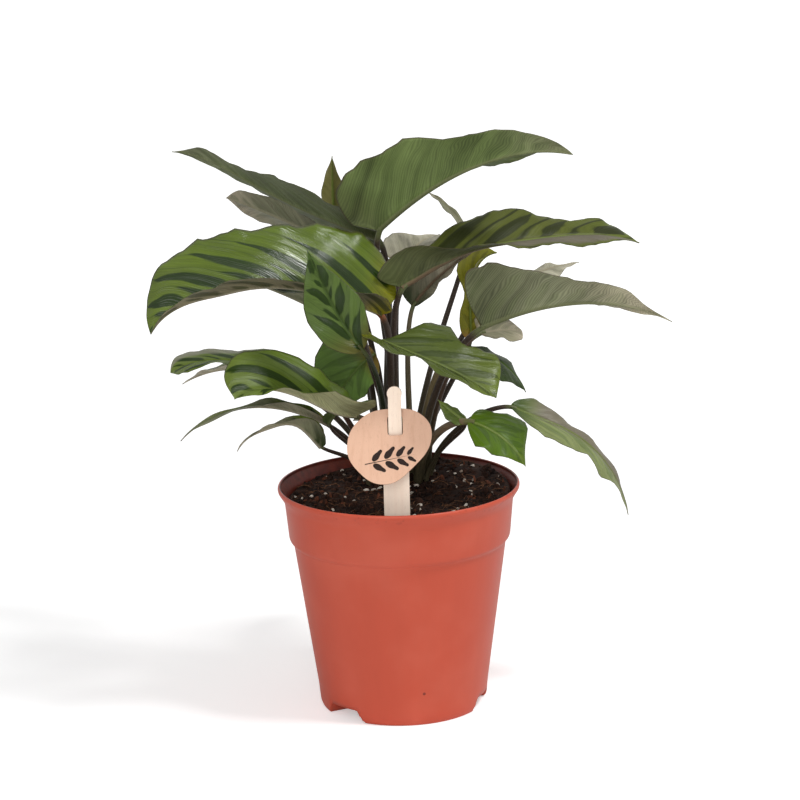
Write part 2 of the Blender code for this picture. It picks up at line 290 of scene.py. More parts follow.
class FeatherStripes(GroupKind):
    """Dark feathers, side veins, midrib and margin of a leaf, read from the blade's own attributes.

    Long feathers reach almost to the margin, and a short one stands between each two. Lengths across the
    leaf are shares of its half width, and lengths along it are pitches of the feathers. Only the radii
    between which the midrib fades out are in millimetres.
    """

    name = "feather_stripes"
    inputs = {
        "Pitch": 18.0, "Slant": 1.3, "Bend": 0.012, "Width": 0.5, "Reach": 0.9, "Short": 0.5, "Seed": 0.0,
    }
    outputs = ("Stripe", "Vein", "Streak", "Tide", "Rib", "Edge", "Height")
    veins_per_pitch = 14
    swells_per_pitch = 2
    side_seed = 7.37
    side_offset = 0.35
    short_width = 0.42
    unevenness = 0.5
    raggedness = 0.1
    soft_edge = (-0.035, 0.04)
    rib_radii = (0.35, 1.25)
    margin = (0.955, 0.995)

    def feather(self, graph: Graph, out: Wire, off: Wire, reach: Wire, width: Wire) -> Wire:
        """How far inside a feather a point lies, in pitches.

        Args:
            graph: The tree's graph.
            out: Share of the way out to the margin.
            off: Distance from the feather's middle line, in pitches.
            reach: Share of the way out at which the feather ends.
            width: The feather's greatest width, in pitches.

        Returns:
            A value above 0 inside the feather.
        """
        part = out / reach
        lens = graph.math("MAXIMUM", 1.0 - part**2.4, 0.0)
        foot = graph.ramp(part, 0.0, 0.35, 0.45, 1.0)
        return width * 0.5 * (lens * foot) - off

    def draw(self, graph: Graph, given: dict[str, Wire]) -> dict[str, Wire]:
        """Write the pattern. Side veins leave the midrib at a slant and bend towards the tip.

        Args:
            graph: The tree's graph.
            given: The group's inputs by name.

        Returns:
            The group's outputs by name.
        """
        run, across, share = graph.parts(graph.attribute("leaf_place", "Vector"))
        beside, out, side = abs(across), abs(share), share > 0.0
        course = (run - beside * given["Slant"] - beside * beside * given["Bend"]) / given["Pitch"]
        seat = given["Seed"] + side * self.side_seed
        drift = graph.noise(graph.vector(course * 0.9, out, seat), 1.6, 1.0)
        course = course + (drift - 0.5) * self.unevenness + side * self.side_offset
        streak = graph.noise(graph.vector(course * 16.0, out * 1.8, seat), 1.0, 3.0, 0.6)
        tide = graph.noise(graph.vector(course * 3.4, out * 0.5, seat), 1.0)
        ragged = (streak - 0.5) * self.raggedness + abs(graph.math("FRACT", course) - 0.5)
        cell = {"W": graph.math("FLOOR", course) + seat}
        chance = graph.wire("ShaderNodeTexWhiteNoise", cell, "Color", noise_dimensions="1D")
        first, second, _ = graph.parts(chance)
        reach, width = given["Reach"] * (first * 0.25 + 0.8), given["Width"] * (second * 0.3 + 0.85)
        long = self.feather(graph, out, ragged, reach, width)
        between, narrow = abs(ragged - 0.5), given["Width"] * self.short_width
        short = self.feather(graph, out, between, given["Short"], narrow)
        vein = graph.math("SINE", course * (math.tau * self.veins_per_pitch)) * 0.5 + 0.5
        swell = graph.math("COSINE", course * (math.tau * self.swells_per_pitch)) * 0.5
        return {
            "Stripe": graph.ramp(graph.math("MAXIMUM", long, short), *self.soft_edge),
            "Vein": vein,
            "Streak": streak,
            "Tide": tide,
            "Rib": graph.ramp(beside, *self.rib_radii, 1.0, 0.0),
            "Edge": graph.ramp(out, *self.margin),
            "Height": vein * 0.22 + swell * 0.5 + streak * 0.5,
        }


class Cloud(GroupKind):
    """Soft patches and fine speckle that break up an even colour."""

    name = "cloud"
    inputs = {"Patch": 30.0, "Speckle": 900.0}
    outputs = ("Patch", "Speckle")

    def draw(self, graph: Graph, given: dict[str, Wire]) -> dict[str, Wire]:
        """Write the two noises, both about 0.5 on average.

        Args:
            graph: The tree's graph.
            given: The group's inputs by name.

        Returns:
            The group's outputs by name.
        """
        place = graph.place()
        return {
            "Patch": graph.noise(place, given["Patch"], 3.0, 0.55),
            "Speckle": graph.noise(place, given["Speckle"], 2.0, 0.6),
        }


class WoodGrain(GroupKind):
    """Straight pale grain along +Z with short dark pores, as on birch veneer."""

    name = "wood_grain"
    inputs = {"Lines": 420.0, "Pores": 1.0}
    outputs = ("Band", "Pore", "Height")

    def draw(self, graph: Graph, given: dict[str, Wire]) -> dict[str, Wire]:
        """Write the stretched noises.

        Args:
            graph: The tree's graph.
            given: The group's inputs by name.

        Returns:
            The group's outputs by name.
        """
        x, y, z = graph.parts(graph.place())
        band = graph.noise(graph.vector(x, y * 0.6, z * 0.07), given["Lines"], 3.0, 0.55)
        fleck = graph.noise(graph.vector(x, y, z * 0.16), given["Lines"] * 4.5)
        pore = graph.ramp(fleck, 0.6, 0.72) * given["Pores"]
        return {"Band": band, "Pore": pore, "Height": band * 0.5 - pore}


# Finishes --------------------------------------------------------------------


@dataclass
class Surface:
    """What a finish feeds its shader: a colour, and a height and a roughness where they vary."""

    colour: Wire
    height: Wire | None = None
    roughness: Wire | None = None


@dataclass(frozen=True)
class Finish:
    """A surface finish that becomes one material with a Principled shader. Its relief is in millimetres."""

    roughness: float = 0.5
    specular: float = 0.5
    depth: float = 0.1

    def paint(self, graph: Graph) -> Surface:
        """Write the nodes of the surface.

        Args:
            graph: The material's graph.

        Returns:
            What the shader is fed.
        """
        raise NotImplementedError

    def dress(self, name: str) -> bpy.types.Material:
        """Make the material.

        Args:
            name: The material's name.

        Returns:
            The new material.
        """
        material = bpy.data.materials.new(name)
        material.use_nodes = True
        graph = Graph(material.node_tree)
        inputs = material.node_tree.nodes["Principled BSDF"].inputs
        inputs["Roughness"].default_value = self.roughness
        inputs["Specular IOR Level"].default_value = self.specular
        surface = self.paint(graph)
        graph.feed(inputs["Base Color"], surface.colour)
        if surface.roughness:
            graph.feed(inputs["Roughness"], surface.roughness)
        if surface.height:
            bump = {"Height": surface.height, "Distance": self.depth * MM, "Strength": 1.0}
            graph.feed(inputs["Normal"], graph.wire("ShaderNodeBump", bump))
        return material


@dataclass(frozen=True)
class StripeLayout:
    """Where a leaf's feathers lie: their pitch, slant, bend, width and reach, and a seed for chance."""

    pitch: float = 11.0
    slant: float = 1.2
    bend: float = 0.012
    width: float = 0.5
    reach: float = 0.9
    short: float = 0.5
    seed: float = 0.0


@dataclass(frozen=True)
class Skin(Finish):
    """One side of a leaf blade.

    The ground runs from the base colour through the ground colour to the tip colour, and the dark or light
    feathers, fine veins, midrib and margin are laid over it. A band of another colour may run along the
    leaf, between two signed shares of its width and from one share of its length on. The covers say how
    far the band and the margin hide the ground.
    """

    ground: Tint = (98, 122, 52)
    stripe: Tint = (44, 66, 22)
    base: Tint = (98, 122, 52)
    tip: Tint = (98, 122, 52)
    rib: Tint = (128, 140, 84)
    edge: Tint = (58, 56, 44)
    base_reach: float = 0.14
    tip_reach: float = 0.4
    contrast: float = 1.0
    veins: float = 0.12
    tides: float = 0.4
    depth: float = 0.16
    roughness: float = 0.4
    specular: float = 0.2
    patch: float = 0.25
    band: Tint = (150, 142, 124)
    band_from: float = 2.0
    band_to: float = 2.0
    band_start: float = 0.0
    band_cover: float = 0.9
    edge_cover: float = 0.7
    layout: StripeLayout = StripeLayout()

    def within_band(self, graph: Graph, share: Wire) -> Wire:
        """How far inside the band a point lies, from 0 to 1. The band's sides and its start are soft.

        Args:
            graph: The material's graph.
            share: The point's share of the way to the tip.

        Returns:
            The wire from 0 to 1.
        """
        signed = graph.parts(graph.attribute("leaf_place", "Vector"))[2]
        side, start = 0.12, 0.08
        opened = graph.ramp(signed, self.band_from - side, self.band_from + side)
        closed = graph.ramp(signed, self.band_to - side, self.band_to + side, 1.0, 0.0)
        return opened * closed * graph.ramp(share, self.band_start - start, self.band_start + start)

    def paint(self, graph: Graph) -> Surface:
        """Lay the band, feathers, veins, midrib and margin over the ground.

        Args:
            graph: The material's graph.

        Returns:
            What the shader is fed.
        """
        layout = {key.capitalize(): value for key, value in asdict(self.layout).items()}
        pattern = FeatherStripes().add(graph, **layout)
        cloud = Cloud().add(graph, Patch=38.0, Speckle=1400.0)
        share = graph.attribute("leaf_share")
        colour = graph.blend(graph.ramp(share, 0.0, self.base_reach, 1.0, 0.0), self.ground, self.base)
        colour = graph.blend(graph.ramp(share, 1.0 - self.tip_reach, 1.0), colour, self.tip)
        colour = graph.blend(pattern["Stripe"] * self.contrast, colour, self.stripe)
        colour = graph.blend(self.within_band(graph, share) * self.band_cover, colour, self.band)
        tone = pattern["Vein"] * self.veins + (1.0 - self.veins / 2)
        tone = tone + (pattern["Streak"] - 0.5) * 0.5 + (cloud["Patch"] - 0.5) * (2 * self.patch)
        colour = graph.toned(colour, tone + (pattern["Tide"] - 0.5) * self.tides)
        colour = graph.blend(pattern["Rib"] * graph.ramp(share, 0.5, 1.0, 0.8, 0.3), colour, self.rib)
        colour = graph.blend(pattern["Edge"] * self.edge_cover, colour, self.edge)
        height = cloud["Speckle"] * 0.12 + pattern["Height"]
        return Surface(colour, height, pattern["Streak"] * 0.16 + (self.roughness - 0.08))


@dataclass(frozen=True)
class StalkFinish(Finish):
    """A leaf stem: sheath at its foot, dark middle and paler joint under the blade, with pale scars."""

    foot: Tint = (84, 78, 58)
    middle: Tint = (64, 54, 48)
    joint: Tint = (92, 98, 62)
    scar: Tint = (134, 124, 98)
    roughness: float = 0.4
    specular: float = 0.2
    depth: float = 0.12

    def paint(self, graph: Graph) -> Surface:
        """Run the colours along the stem, streak them and strew the scars.

        Args:
            graph: The material's graph.

        Returns:
            What the shader is fed.
        """
        share, turn = graph.attribute("stalk_share"), graph.attribute("stalk_turn")
        colour = graph.blend(graph.ramp(share, 0.12, 0.5), self.foot, self.middle)
        colour = graph.blend(graph.ramp(share, 0.84, 0.93), colour, self.joint)
        streak = graph.noise(graph.vector(turn * 16.0, share * 5.0), 1.0, 3.0, 0.65)
        colour = graph.toned(colour, streak * 1.7 + 0.15)
        speckle = Cloud().add(graph, Patch=120.0, Speckle=1800.0)["Speckle"]
        colour = graph.blend(graph.ramp(speckle, 0.6, 0.72, 0.0, 0.45), colour, self.scar)
        return Surface(colour, streak + speckle)


@dataclass(frozen=True)
class PotPlastic(Finish):
    """Thin moulded polypropylene with a dull sheen, small scuffs, soil stains at the rim, and soil stain
    mixed with painted shade inside.

    The rim's stains begin at one depth below it and are complete at another.
    """

    colour: Tint = (191, 77, 53)
    worn: Tint = (202, 96, 74)
    # Soil stains; on the inner wall the same colour also stands for painted shade.
    soiled: Tint = (84, 36, 28)
    roughness: float = 0.42
    specular: float = 0.35
    depth: float = 0.08
    rim_height: float = 114.0
    rim_soil: tuple = (8.0, 1.0)
    speck_scale: float = 95.0
    speck_size: float = 0.1

    def paint(self, graph: Graph) -> Surface:
        """Lay the wear, the dark specks, the soil stains and the inner wall's painted shade over the plastic.

        Args:
            graph: The material's graph.

        Returns:
            What the shader is fed.
        """
        place = graph.place()
        x, y, z = graph.parts(place)
        cloud = Cloud().add(graph, Patch=22.0, Speckle=700.0)
        colour = graph.blend(graph.ramp(cloud["Patch"], 0.42, 0.75, 0.0, 0.5), self.colour, self.worn)
        streak = graph.noise(graph.vector(x, y, z * 0.12), 90.0, 3.0, 0.6)
        colour = graph.toned(colour, streak * 0.12 + 0.94)
        cells = graph.node("ShaderNodeTexVoronoi", {"Vector": place, "Scale": self.speck_scale})
        chance = graph.parts(Wire(graph, cells.outputs["Color"]))[0]
        inside = graph.ramp(chance, 0.86, 1.0) * self.speck_size - Wire(graph, cells.outputs["Distance"])
        colour = graph.blend(graph.ramp(inside, 0.0, 0.02, 0.0, 0.75), colour, self.soiled)
        # Mottle for the rim's soil stains and for the inner wall's mix of soil stain and painted shade.
        stain_and_shade_mottle = graph.noise(place, 260.0, 4.0, 0.65)
        near_rim = graph.ramp(z, *((self.rim_height - below) * MM for below in self.rim_soil))
        colour = graph.blend(near_rim * graph.ramp(stain_and_shade_mottle, 0.58, 0.7, 0.0, 0.3), colour, self.soiled)
        # Faces that look in towards the axis take the soil colour: partly soil stain, partly painted shade on
        # the inner wall.
        normal = graph.wire("ShaderNodeNewGeometry", output="True Normal")
        ways = {0: normal, 1: graph.vector(x, y)}
        outward = graph.wire("ShaderNodeVectorMath", ways, "Value", operation="DOT_PRODUCT")
        inside_stain_and_shade = graph.ramp(outward, 0.0, -0.02) * (stain_and_shade_mottle * 0.6 + 0.55)
        colour = graph.blend(inside_stain_and_shade, colour, self.soiled)
        height = streak * 0.6 + cloud["Speckle"] * 0.4
        return Surface(colour, height, cloud["Patch"] * 0.2 + (self.roughness - 0.1))


@dataclass(frozen=True)
class BareWood(Finish):
    """Sanded birch veneer, with a scorched brown edge where the laser cut it."""

    colour: Tint = (222, 178, 150)
    band: Tint = (208, 160, 131)
    scorch: Tint = (112, 66, 42)
    roughness: float = 0.62
    depth: float = 0.04

    def paint(self, graph: Graph) -> Surface:
        """Lay the grain, its pores and the scorched cut edges.

        Args:
            graph: The material's graph.

        Returns:
            What the shader is fed.
        """
        grain = WoodGrain().add(graph, Lines=420.0, Pores=0.25)
        speckle = Cloud().add(graph, Patch=60.0, Speckle=2600.0)["Speckle"]
        colour = graph.blend(graph.ramp(grain["Band"], 0.4, 0.8, 0.0, 0.6), self.colour, self.band)
        colour = graph.blend(grain["Pore"] * 0.5, colour, self.scorch)
        colour = graph.toned(colour, speckle * 0.14 + 0.93)
        colour = graph.blend(graph.attribute("cut_edge") * 0.8, colour, self.scorch)
        return Surface(colour, grain["Height"])


@dataclass(frozen=True)
class Print(Finish):
    """Flat dark ink on the wood, a little worn by the wood's pores."""

    colour: Tint = (40, 27, 23)
    worn: Tint = (120, 84, 66)
    roughness: float = 0.6
    specular: float = 0.15

    def paint(self, graph: Graph) -> Surface:
        """Wear the ink."""
        speckle = Cloud().add(graph, Patch=200.0, Speckle=2600.0)["Speckle"]
        return Surface(graph.blend(graph.ramp(speckle, 0.6, 0.8, 0.0, 0.5), self.colour, self.worn))


@dataclass(frozen=True)
class Crumbs(Finish):
    """Loose grains, each with its own shade between two colours."""

    dark: Tint = (22, 13, 11)
    light: Tint = (58, 38, 29)
    roughness: float = 0.85
    specular: float = 0.12
    grain: float = 700.0
    depth: float = 0.3

    def paint(self, graph: Graph) -> Surface:
        """Mix the two colours by coarse and fine noise."""
        cloud = Cloud().add(graph, Patch=180.0, Speckle=self.grain)
        mixed = cloud["Speckle"] * 0.5 + cloud["Patch"] * 0.5
        return Surface(graph.blend(graph.ramp(mixed, 0.36, 0.66), self.dark, self.light), cloud["Speckle"])


@dataclass(frozen=True)
class Grit(Finish):
    """Expanded perlite: chalky white grains with tiny pits, a little soiled."""

    colour: Tint = (226, 216, 204)
    soiled: Tint = (150, 128, 110)
    roughness: float = 0.9
    depth: float = 0.25

    def paint(self, graph: Graph) -> Surface:
        """Soil the grains in patches."""
        cloud = Cloud().add(graph, Patch=240.0, Speckle=2400.0)
        colour = graph.blend(graph.ramp(cloud["Patch"], 0.48, 0.68), self.colour, self.soiled)
        return Surface(colour, cloud["Speckle"])


# Mesh helpers ----------------------------------------------------------------


def linked(name: str, data: bpy.types.ID) -> bpy.types.Object:
    """Put a mesh or a curve into the scene as an object at the origin."""
    piece = bpy.data.objects.new(name, data)
    bpy.context.scene.collection.objects.link(piece)
    return piece


def settled(piece: bpy.types.Object) -> bpy.types.Object:
    """Apply an object's modifiers and its place to its mesh.

    Args:
        piece: A mesh or curve object with live modifiers.

    Returns:
        A plain mesh object of the same name, at the origin.
    """
    graph = bpy.context.evaluated_depsgraph_get()
    evaluated = piece.evaluated_get(graph)
    mesh = bpy.data.meshes.new_from_object(evaluated, preserve_all_data_layers=True, depsgraph=graph)
    mesh.transform(piece.matrix_world)
    name = piece.name
    bpy.data.objects.remove(piece, do_unlink=True)
    mesh.name = name
    return linked(name, mesh)


def written(name: str, bm: bmesh.types.BMesh) -> bpy.types.Mesh:
    """Turn an edited mesh into a new mesh and free it.

    Args:
        name: The mesh's name.
        bm: The edited mesh.

    Returns:
        The new mesh.
    """
    mesh = bpy.data.meshes.new(name)
    bm.to_mesh(mesh)
    bm.free()
    return mesh


def report(piece: bpy.types.Object) -> None:
    """Log a finished piece and its size in triangles."""
    triangles = sum(len(face.vertices) - 2 for face in piece.data.polygons)
    LOG.info("%s: %d triangles", piece.name, triangles)


def softened(points: list[Point], radius: float, steps: int = 3) -> list[Point]:
    """Round the corners of an open outline.

    Args:
        points: The outline's corners.
        radius: How far from a corner its rounding starts, at most half of the shorter side.
        steps: Segments in each rounding.

    Returns:
        The rounded outline.
    """
    rounded = [points[0]]
    for before, corner, after in zip(points, points[1:], points[2:]):
        back, ahead = Vector(before) - Vector(corner), Vector(after) - Vector(corner)
        size = min(radius, back.length / 2, ahead.length / 2)
        start = Vector(corner) + back.normalized() * size
        end = Vector(corner) + ahead.normalized() * size
        for step in range(steps + 1):
            share = step / steps
            place = start * (1 - share) ** 2 + Vector(corner) * 2 * share * (1 - share) + end * share**2
            rounded.append((place.x, place.y))
    rounded.append(points[-1])
    return rounded


def turned(name: str, profile: list[Point], segments: int) -> bpy.types.Mesh:
    """Turn an outline of (radius, height) about +Z into a closed mesh.

    Args:
        name: The mesh's name.
        profile: The outline from the axis, outwards and round to the axis, in millimetres.
        segments: Steps round the axis.

    Returns:
        The mesh, in metres, with its poles closed.
    """
    bm = bmesh.new()
    ring = [bm.verts.new((radius * MM, 0.0, height * MM)) for radius, height in profile]
    edges = [bm.edges.new(pair) for pair in zip(ring, ring[1:])]
    bmesh.ops.spin(
        bm, geom=ring + edges, axis=(0, 0, 1), cent=(0, 0, 0), angle=math.tau, steps=segments
    )
    bmesh.ops.remove_doubles(bm, verts=bm.verts, dist=TURNED_WELD * MM)
    bmesh.ops.recalc_face_normals(bm, faces=bm.faces)
    for face in bm.faces:
        face.smooth = True
    return written(name, bm)


class Recipe:
    """A Geometry Nodes tree with named inputs, and the modifier that runs it once."""

    def __init__(self, name: str, inputs: dict[str, str]) -> None:
        """Start the tree.

        Args:
            name: The tree's name.
            inputs: Kind of value by input name. A geometry comes before them and a material after.
        """
        self.tree = bpy.data.node_groups.new(name, "GeometryNodeTree")
        self.keys = {}
        for label, kind in {"Geometry": "Geometry", **inputs, "Material": "Material"}.items():
            kind = "NodeSocket" + kind
            socket = self.tree.interface.new_socket(label, in_out="INPUT", socket_type=kind)
            self.keys[label] = socket.identifier
        self.tree.interface.new_socket("Geometry", in_out="OUTPUT", socket_type="NodeSocketGeometry")
        self.graph = Graph(self.tree)
        self.source, self.sink = self.graph.node("NodeGroupInput"), self.graph.node("NodeGroupOutput")

    def given(self, label: str) -> Wire:
        """Return a named input inside the tree."""
        return Wire(self.graph, self.source.outputs[label])

    def chance(self, least: Value, most: Value, seed: int) -> Wire:
        """A random vector for each point, between two vectors."""
        inputs = {0: least, 1: most, 8: seed}
        return self.graph.wire("FunctionNodeRandomValue", inputs, data_type="FLOAT_VECTOR")

    def moved(self, geometry: Wire, offset: Wire) -> Wire:
        """Move each point by an offset."""
        return self.graph.wire("GeometryNodeSetPosition", {0: geometry, 3: offset})

    def stored(self, geometry: Wire, name: str, value: Wire) -> Wire:
        """Store a number for each point in a named attribute."""
        inputs = {0: geometry, 2: name, 3: value}
        return self.graph.wire("GeometryNodeStoreNamedAttribute", inputs, data_type="FLOAT")

    def strewn(self) -> Wire:
        """Random points on the faces that come in, by the inputs Density and Seed."""
        inputs = {0: self.given("Geometry"), 4: self.given("Density"), 6: self.given("Seed")}
        return self.graph.wire("GeometryNodeDistributePointsOnFaces", inputs)

    def placed(self, points: Wire, shape: Wire, turn: Wire, size: Wire) -> Wire:
        """Put a shape on each point, turned and scaled."""
        return self.graph.wire("GeometryNodeInstanceOnPoints", {0: points, 2: shape, 5: turn, 6: size})

    def close(self, geometry: Wire) -> None:
        """End the tree with real instances, smooth faces and the material.

        Args:
            geometry: What the tree has made.
        """
        real = self.graph.wire("GeometryNodeRealizeInstances", {0: geometry})
        smooth = self.graph.wire("GeometryNodeSetShadeSmooth", {0: real})
        inputs = {0: smooth, 2: self.given("Material")}
        self.graph.feed(self.sink.inputs[0], self.graph.wire("GeometryNodeSetMaterial", inputs))

    def run(self, name: str, mesh: bpy.types.Mesh, **values: object) -> bpy.types.Object:
        """Make one piece.

        Args:
            name: The piece's name.
            mesh: The mesh that the tree starts from.
            values: Inputs by name.

        Returns:
            A plain mesh object.
        """
        piece = linked(name, mesh)
        modifier = piece.modifiers.new(self.tree.name, "NODES")
        modifier.node_group = self.tree
        for label, value in values.items():
            modifier[self.keys[label]] = value
        return settled(piece)


# Leaves ----------------------------------------------------------------------

Share = float | np.ndarray


def along(values: tuple, t: Share) -> Share:
    """A value at t from 0 to 1.

    Args:
        values: Two values for a straight run, three for a parabola, or more for a smooth curve through them
            at even steps.
        t: One share or an array of shares.

    Returns:
        The value or values at t.
    """
    if len(values) == 2:
        return values[0] + (values[1] - values[0]) * t
    if len(values) == 3:
        first, middle, last = values
        return first * (1 - t) * (1 - 2 * t) + middle * 4 * t * (1 - t) + last * t * (2 * t - 1)
    points = np.array([2 * values[0] - values[1], *values, 2 * values[-1] - values[-2]], float)
    place = np.clip(np.asarray(t, float), 0, 1) * (len(values) - 1)
    cell = np.minimum(place.astype(int), len(values) - 2)
    u = place - cell
    before, start, end, after = (points[cell + step] for step in range(4))
    bend = (2 * before - 5 * start + 4 * end - after) * u**2 + (3 * (start - end) + after - before) * u**3
    return start + (end - before) * u / 2 + bend / 2


def wander(random: np.random.Generator, place: np.ndarray, length: float) -> np.ndarray:
    """A smooth irregular wave from about -1 to 1.

    Args:
        random: Where its phases come from.
        place: Distances along it.
        length: Its main wavelength, in the same unit.

    Returns:
        The wave's height at each distance.
    """
    total = np.zeros_like(place)
    for octave in range(1, 4):
        stretch, phase = random.uniform(0.8, 1.25), random.uniform(0, math.tau)
        total += np.sin(math.tau * place * octave / (length * stretch) + phase) / octave
    return total / 1.6


@dataclass(frozen=True)
class Leaf:
    """One blade and its stem. A row of angles runs from the blade's base to its tip.

    The heading turns about +Z from +X and the pitch lifts the midrib. The left and right halves fold up
    from the midrib by their own angles, and the roll turns the whole blade about it. The halves scale the
    width of the left and right half, the edges do so along the leaf, and the lobes reach back beside the
    stem, in millimetres.
    """

    name: str
    start: tuple
    heading: tuple
    pitch: tuple
    length: float
    width: float
    left: tuple = (25, 15)
    right: tuple = (25, 15)
    roll: tuple = (0, 0)
    belly: float = 0.42
    blunt: float = 2.2
    taper: tuple = (1.75, 1.35)
    wave: float = 1.5
    waves: float = 3.0
    phase: float = 0.0
    root: tuple = (0, 15)
    hook: float = 0.15
    halves: tuple = (1.0, 1.0)
    rise: float = 0.4
    stem: float = 1.2
    left_edge: tuple = (1, 1)
    right_edge: tuple = (1, 1)
    lobes: tuple = (0, 0)
    slot: str = "leaf_green"
    upper: Skin = Skin()
    under: Skin = Skin()
    layout: StripeLayout = StripeLayout()
    joint: Tint = (92, 98, 62)
    stalk: Tint = (62, 50, 42)

    def direction(self, t: Share) -> np.ndarray:
        """Unit vectors along the midrib at t."""
        heading, pitch = np.radians(along(self.heading, t)), np.radians(along(self.pitch, t))
        level = np.cos(pitch)
        return np.stack([level * np.cos(heading), level * np.sin(heading), np.sin(pitch)], axis=-1)

    def half_width(self, t: np.ndarray) -> np.ndarray:
        """Half of the blade's width at t: a blunt rise to the belly, then a taper to the tip.

        Args:
            t: Shares of the way to the tip.

        Returns:
            The half widths in millimetres.
        """
        rise = np.clip(1 - t / self.belly, 0, 1)
        fall = np.clip((t - self.belly) / (1 - self.belly), 0, 1)
        rising = np.sqrt(np.maximum(0, 1 - rise**self.blunt))
        falling = (1 - fall ** self.taper[0]) ** self.taper[1]
        share = np.where(t < self.belly, rising, falling)
        return np.maximum(self.width / 2 * share, 1.0 - 0.85 * t)


@dataclass
class Blade:
    """A leaf blade as a thin closed shell: quilted, crimped at its margin, with a keel under its midrib."""

    leaf: Leaf
    seed: int
    row_step: float = 1.7
    least_rows: int = 24
    tip_crowding: float = 0.75
    rib_columns: tuple = (0.0, 0.4, 0.75, 1.0)
    half_columns: int = 14
    thickness: float = 0.35
    margin_thickness: float = 0.14
    quilting: float = 0.28
    groove: float = 0.3
    keel_depth: float = 0.75
    keel_at_tip: float = 0.25
    keel_at_base: float = 0.95
    keel_fade: float = 0.9
    lobe_reach: float = 0.3
    undulation: float = 0.5
    undulation_length: float = 31.0
    scallops: float = 0.035
    scallop_length: float = 17.0
    crimp: float = 0.7
    crimp_length: float = 19.0
    arch: float = 0.05
    full_crimp_width: float = 12.0
    full_swell_width: float = 15.0
    left_phase: float = 2.1

    def grid(self) -> tuple[np.ndarray, np.ndarray, np.ndarray]:
        """Lay out the blade.

        Returns:
            Shares along the midrib by row, and by row and column the distance across in millimetres and
            its signed share of the half's own width.
        """
        leaf = self.leaf
        rows = max(self.least_rows, int(leaf.length / self.row_step))
        even = np.linspace(0, 1, rows + 1)
        t = even - self.tip_crowding * np.sin(math.tau * even) / math.tau
        random = np.random.default_rng(self.seed)
        outward = np.linspace(0, 1, self.half_columns + 1)[1:]
        halves = []
        for factor, edge in zip(leaf.halves, (leaf.left_edge, leaf.right_edge)):
            width = leaf.half_width(t) * factor * along(edge, t)
            width *= 1 + self.scallops * wander(random, t * leaf.length, self.scallop_length)
            inner = np.minimum(self.keel(t), 0.6 * width)
            near = inner[:, None] * np.array(self.rib_columns)
            far = inner[:, None] + (width - inner)[:, None] * outward
            reach = np.concatenate([near, far], axis=1)
            halves.append((reach, reach / width[:, None]))
        left = [-values[:, :0:-1] for values in halves[0]]
        across = [np.concatenate(pair, axis=1) for pair in zip(left, halves[1])]
        return t, across[0], across[1]

    def keel(self, t: np.ndarray) -> np.ndarray:
        """Radius of the midrib at t."""
        return self.keel_at_tip + self.keel_at_base * self.leaf.stem * (1 - t) ** self.keel_fade

    def lift(self, t: np.ndarray, reach: np.ndarray, share: np.ndarray, half: np.ndarray) -> np.ndarray:
        """How far the blade's waves, arch, crimped margin, swell and quilting raise it.

        Args:
            t: Shares along the midrib by row.
            reach: Distances across by row and column.
            share: Signed shares of the half's own width by row and column.
            half: The half's own width by row and column.

        Returns:
            Heights by row and column, in millimetres.
        """
        leaf, layout = self.leaf, self.leaf.layout
        random = np.random.default_rng(self.seed + 100)
        is_right, far = share >= 0, np.abs(share)
        run = (t * leaf.length)[:, None] * np.ones_like(share)
        phase = leaf.phase + np.where(is_right, 0.0, self.left_phase)
        ripple = np.sin(math.tau * leaf.waves * t[:, None] + phase) * np.sin(math.pi * t)[:, None]
        lift = leaf.wave * share**2 * ripple
        lift = lift + self.arch * half * 4 * far * (1 - far)
        crimps = [wander(random, run, self.crimp_length) for _ in range(2)]
        crimp = np.where(is_right, *crimps)
        lift = lift + self.crimp * far**4 * crimp * np.minimum(1, half / self.full_crimp_width)
        swell = wander(random, run + 0.6 * reach, self.undulation_length)
        full = np.minimum(1, half / self.full_swell_width)
        lift = lift + self.undulation * far * swell * full
        course = (run - np.abs(reach) * layout.slant - reach**2 * layout.bend) / (layout.pitch / 2)
        quilt = np.cos(math.tau * course) * np.clip(np.abs(reach) / 4, 0, 1) * (1 - far**6)
        return lift + self.quilting * quilt * full

    def middle(self, t: np.ndarray, reach: np.ndarray, share: np.ndarray) -> np.ndarray:
        """Points of the blade's middle surface by row and column.

        Args:
            t: Shares along the midrib by row.
            reach: Distances across by row and column.
            share: Signed shares of the half's own width by row and column.

        Returns:
            The points in millimetres.
        """
        leaf = self.leaf
        tangent = leaf.direction(t)
        steps = (tangent[1:] + tangent[:-1]) / 2 * np.diff(t)[:, None] * leaf.length
        rib = np.array(leaf.start, float) + np.concatenate([np.zeros((1, 3)), np.cumsum(steps, axis=0)])
        heading = np.radians(along(leaf.heading, t))
        level_side = np.stack([np.sin(heading), -np.cos(heading), np.zeros_like(t)], axis=-1)
        level_normal = np.cross(level_side, tangent)
        roll = np.radians(along(leaf.roll, t))[:, None]
        side = level_side * np.cos(roll) + level_normal * np.sin(roll)
        normal = level_normal * np.cos(roll) - level_side * np.sin(roll)
        is_right, far = share >= 0, np.abs(share)
        fold = np.where(is_right, along(leaf.right, t)[:, None], along(leaf.left, t)[:, None])
        fold = np.radians(fold) * np.ones_like(share)
        half = np.abs(reach) / np.maximum(far, 1e-6)
        lift = self.lift(t, reach, share, half)
        turn = np.where(is_right, 1.0, -1.0)
        flat = reach * np.cos(fold) - turn * np.sin(fold) * lift
        high = np.abs(reach) * np.sin(fold) + np.cos(fold) * lift
        lobe = np.where(is_right, leaf.lobes[1], leaf.lobes[0])
        near_base = np.clip(1 - t / self.lobe_reach, 0, 1)[:, None] ** 2
        back = lobe * far**1.5 * near_base * np.minimum(1, half / self.full_crimp_width)
        rib = rib[:, None] - tangent[:, None] * back[..., None]
        return rib + side[:, None] * flat[..., None] + normal[:, None] * high[..., None]

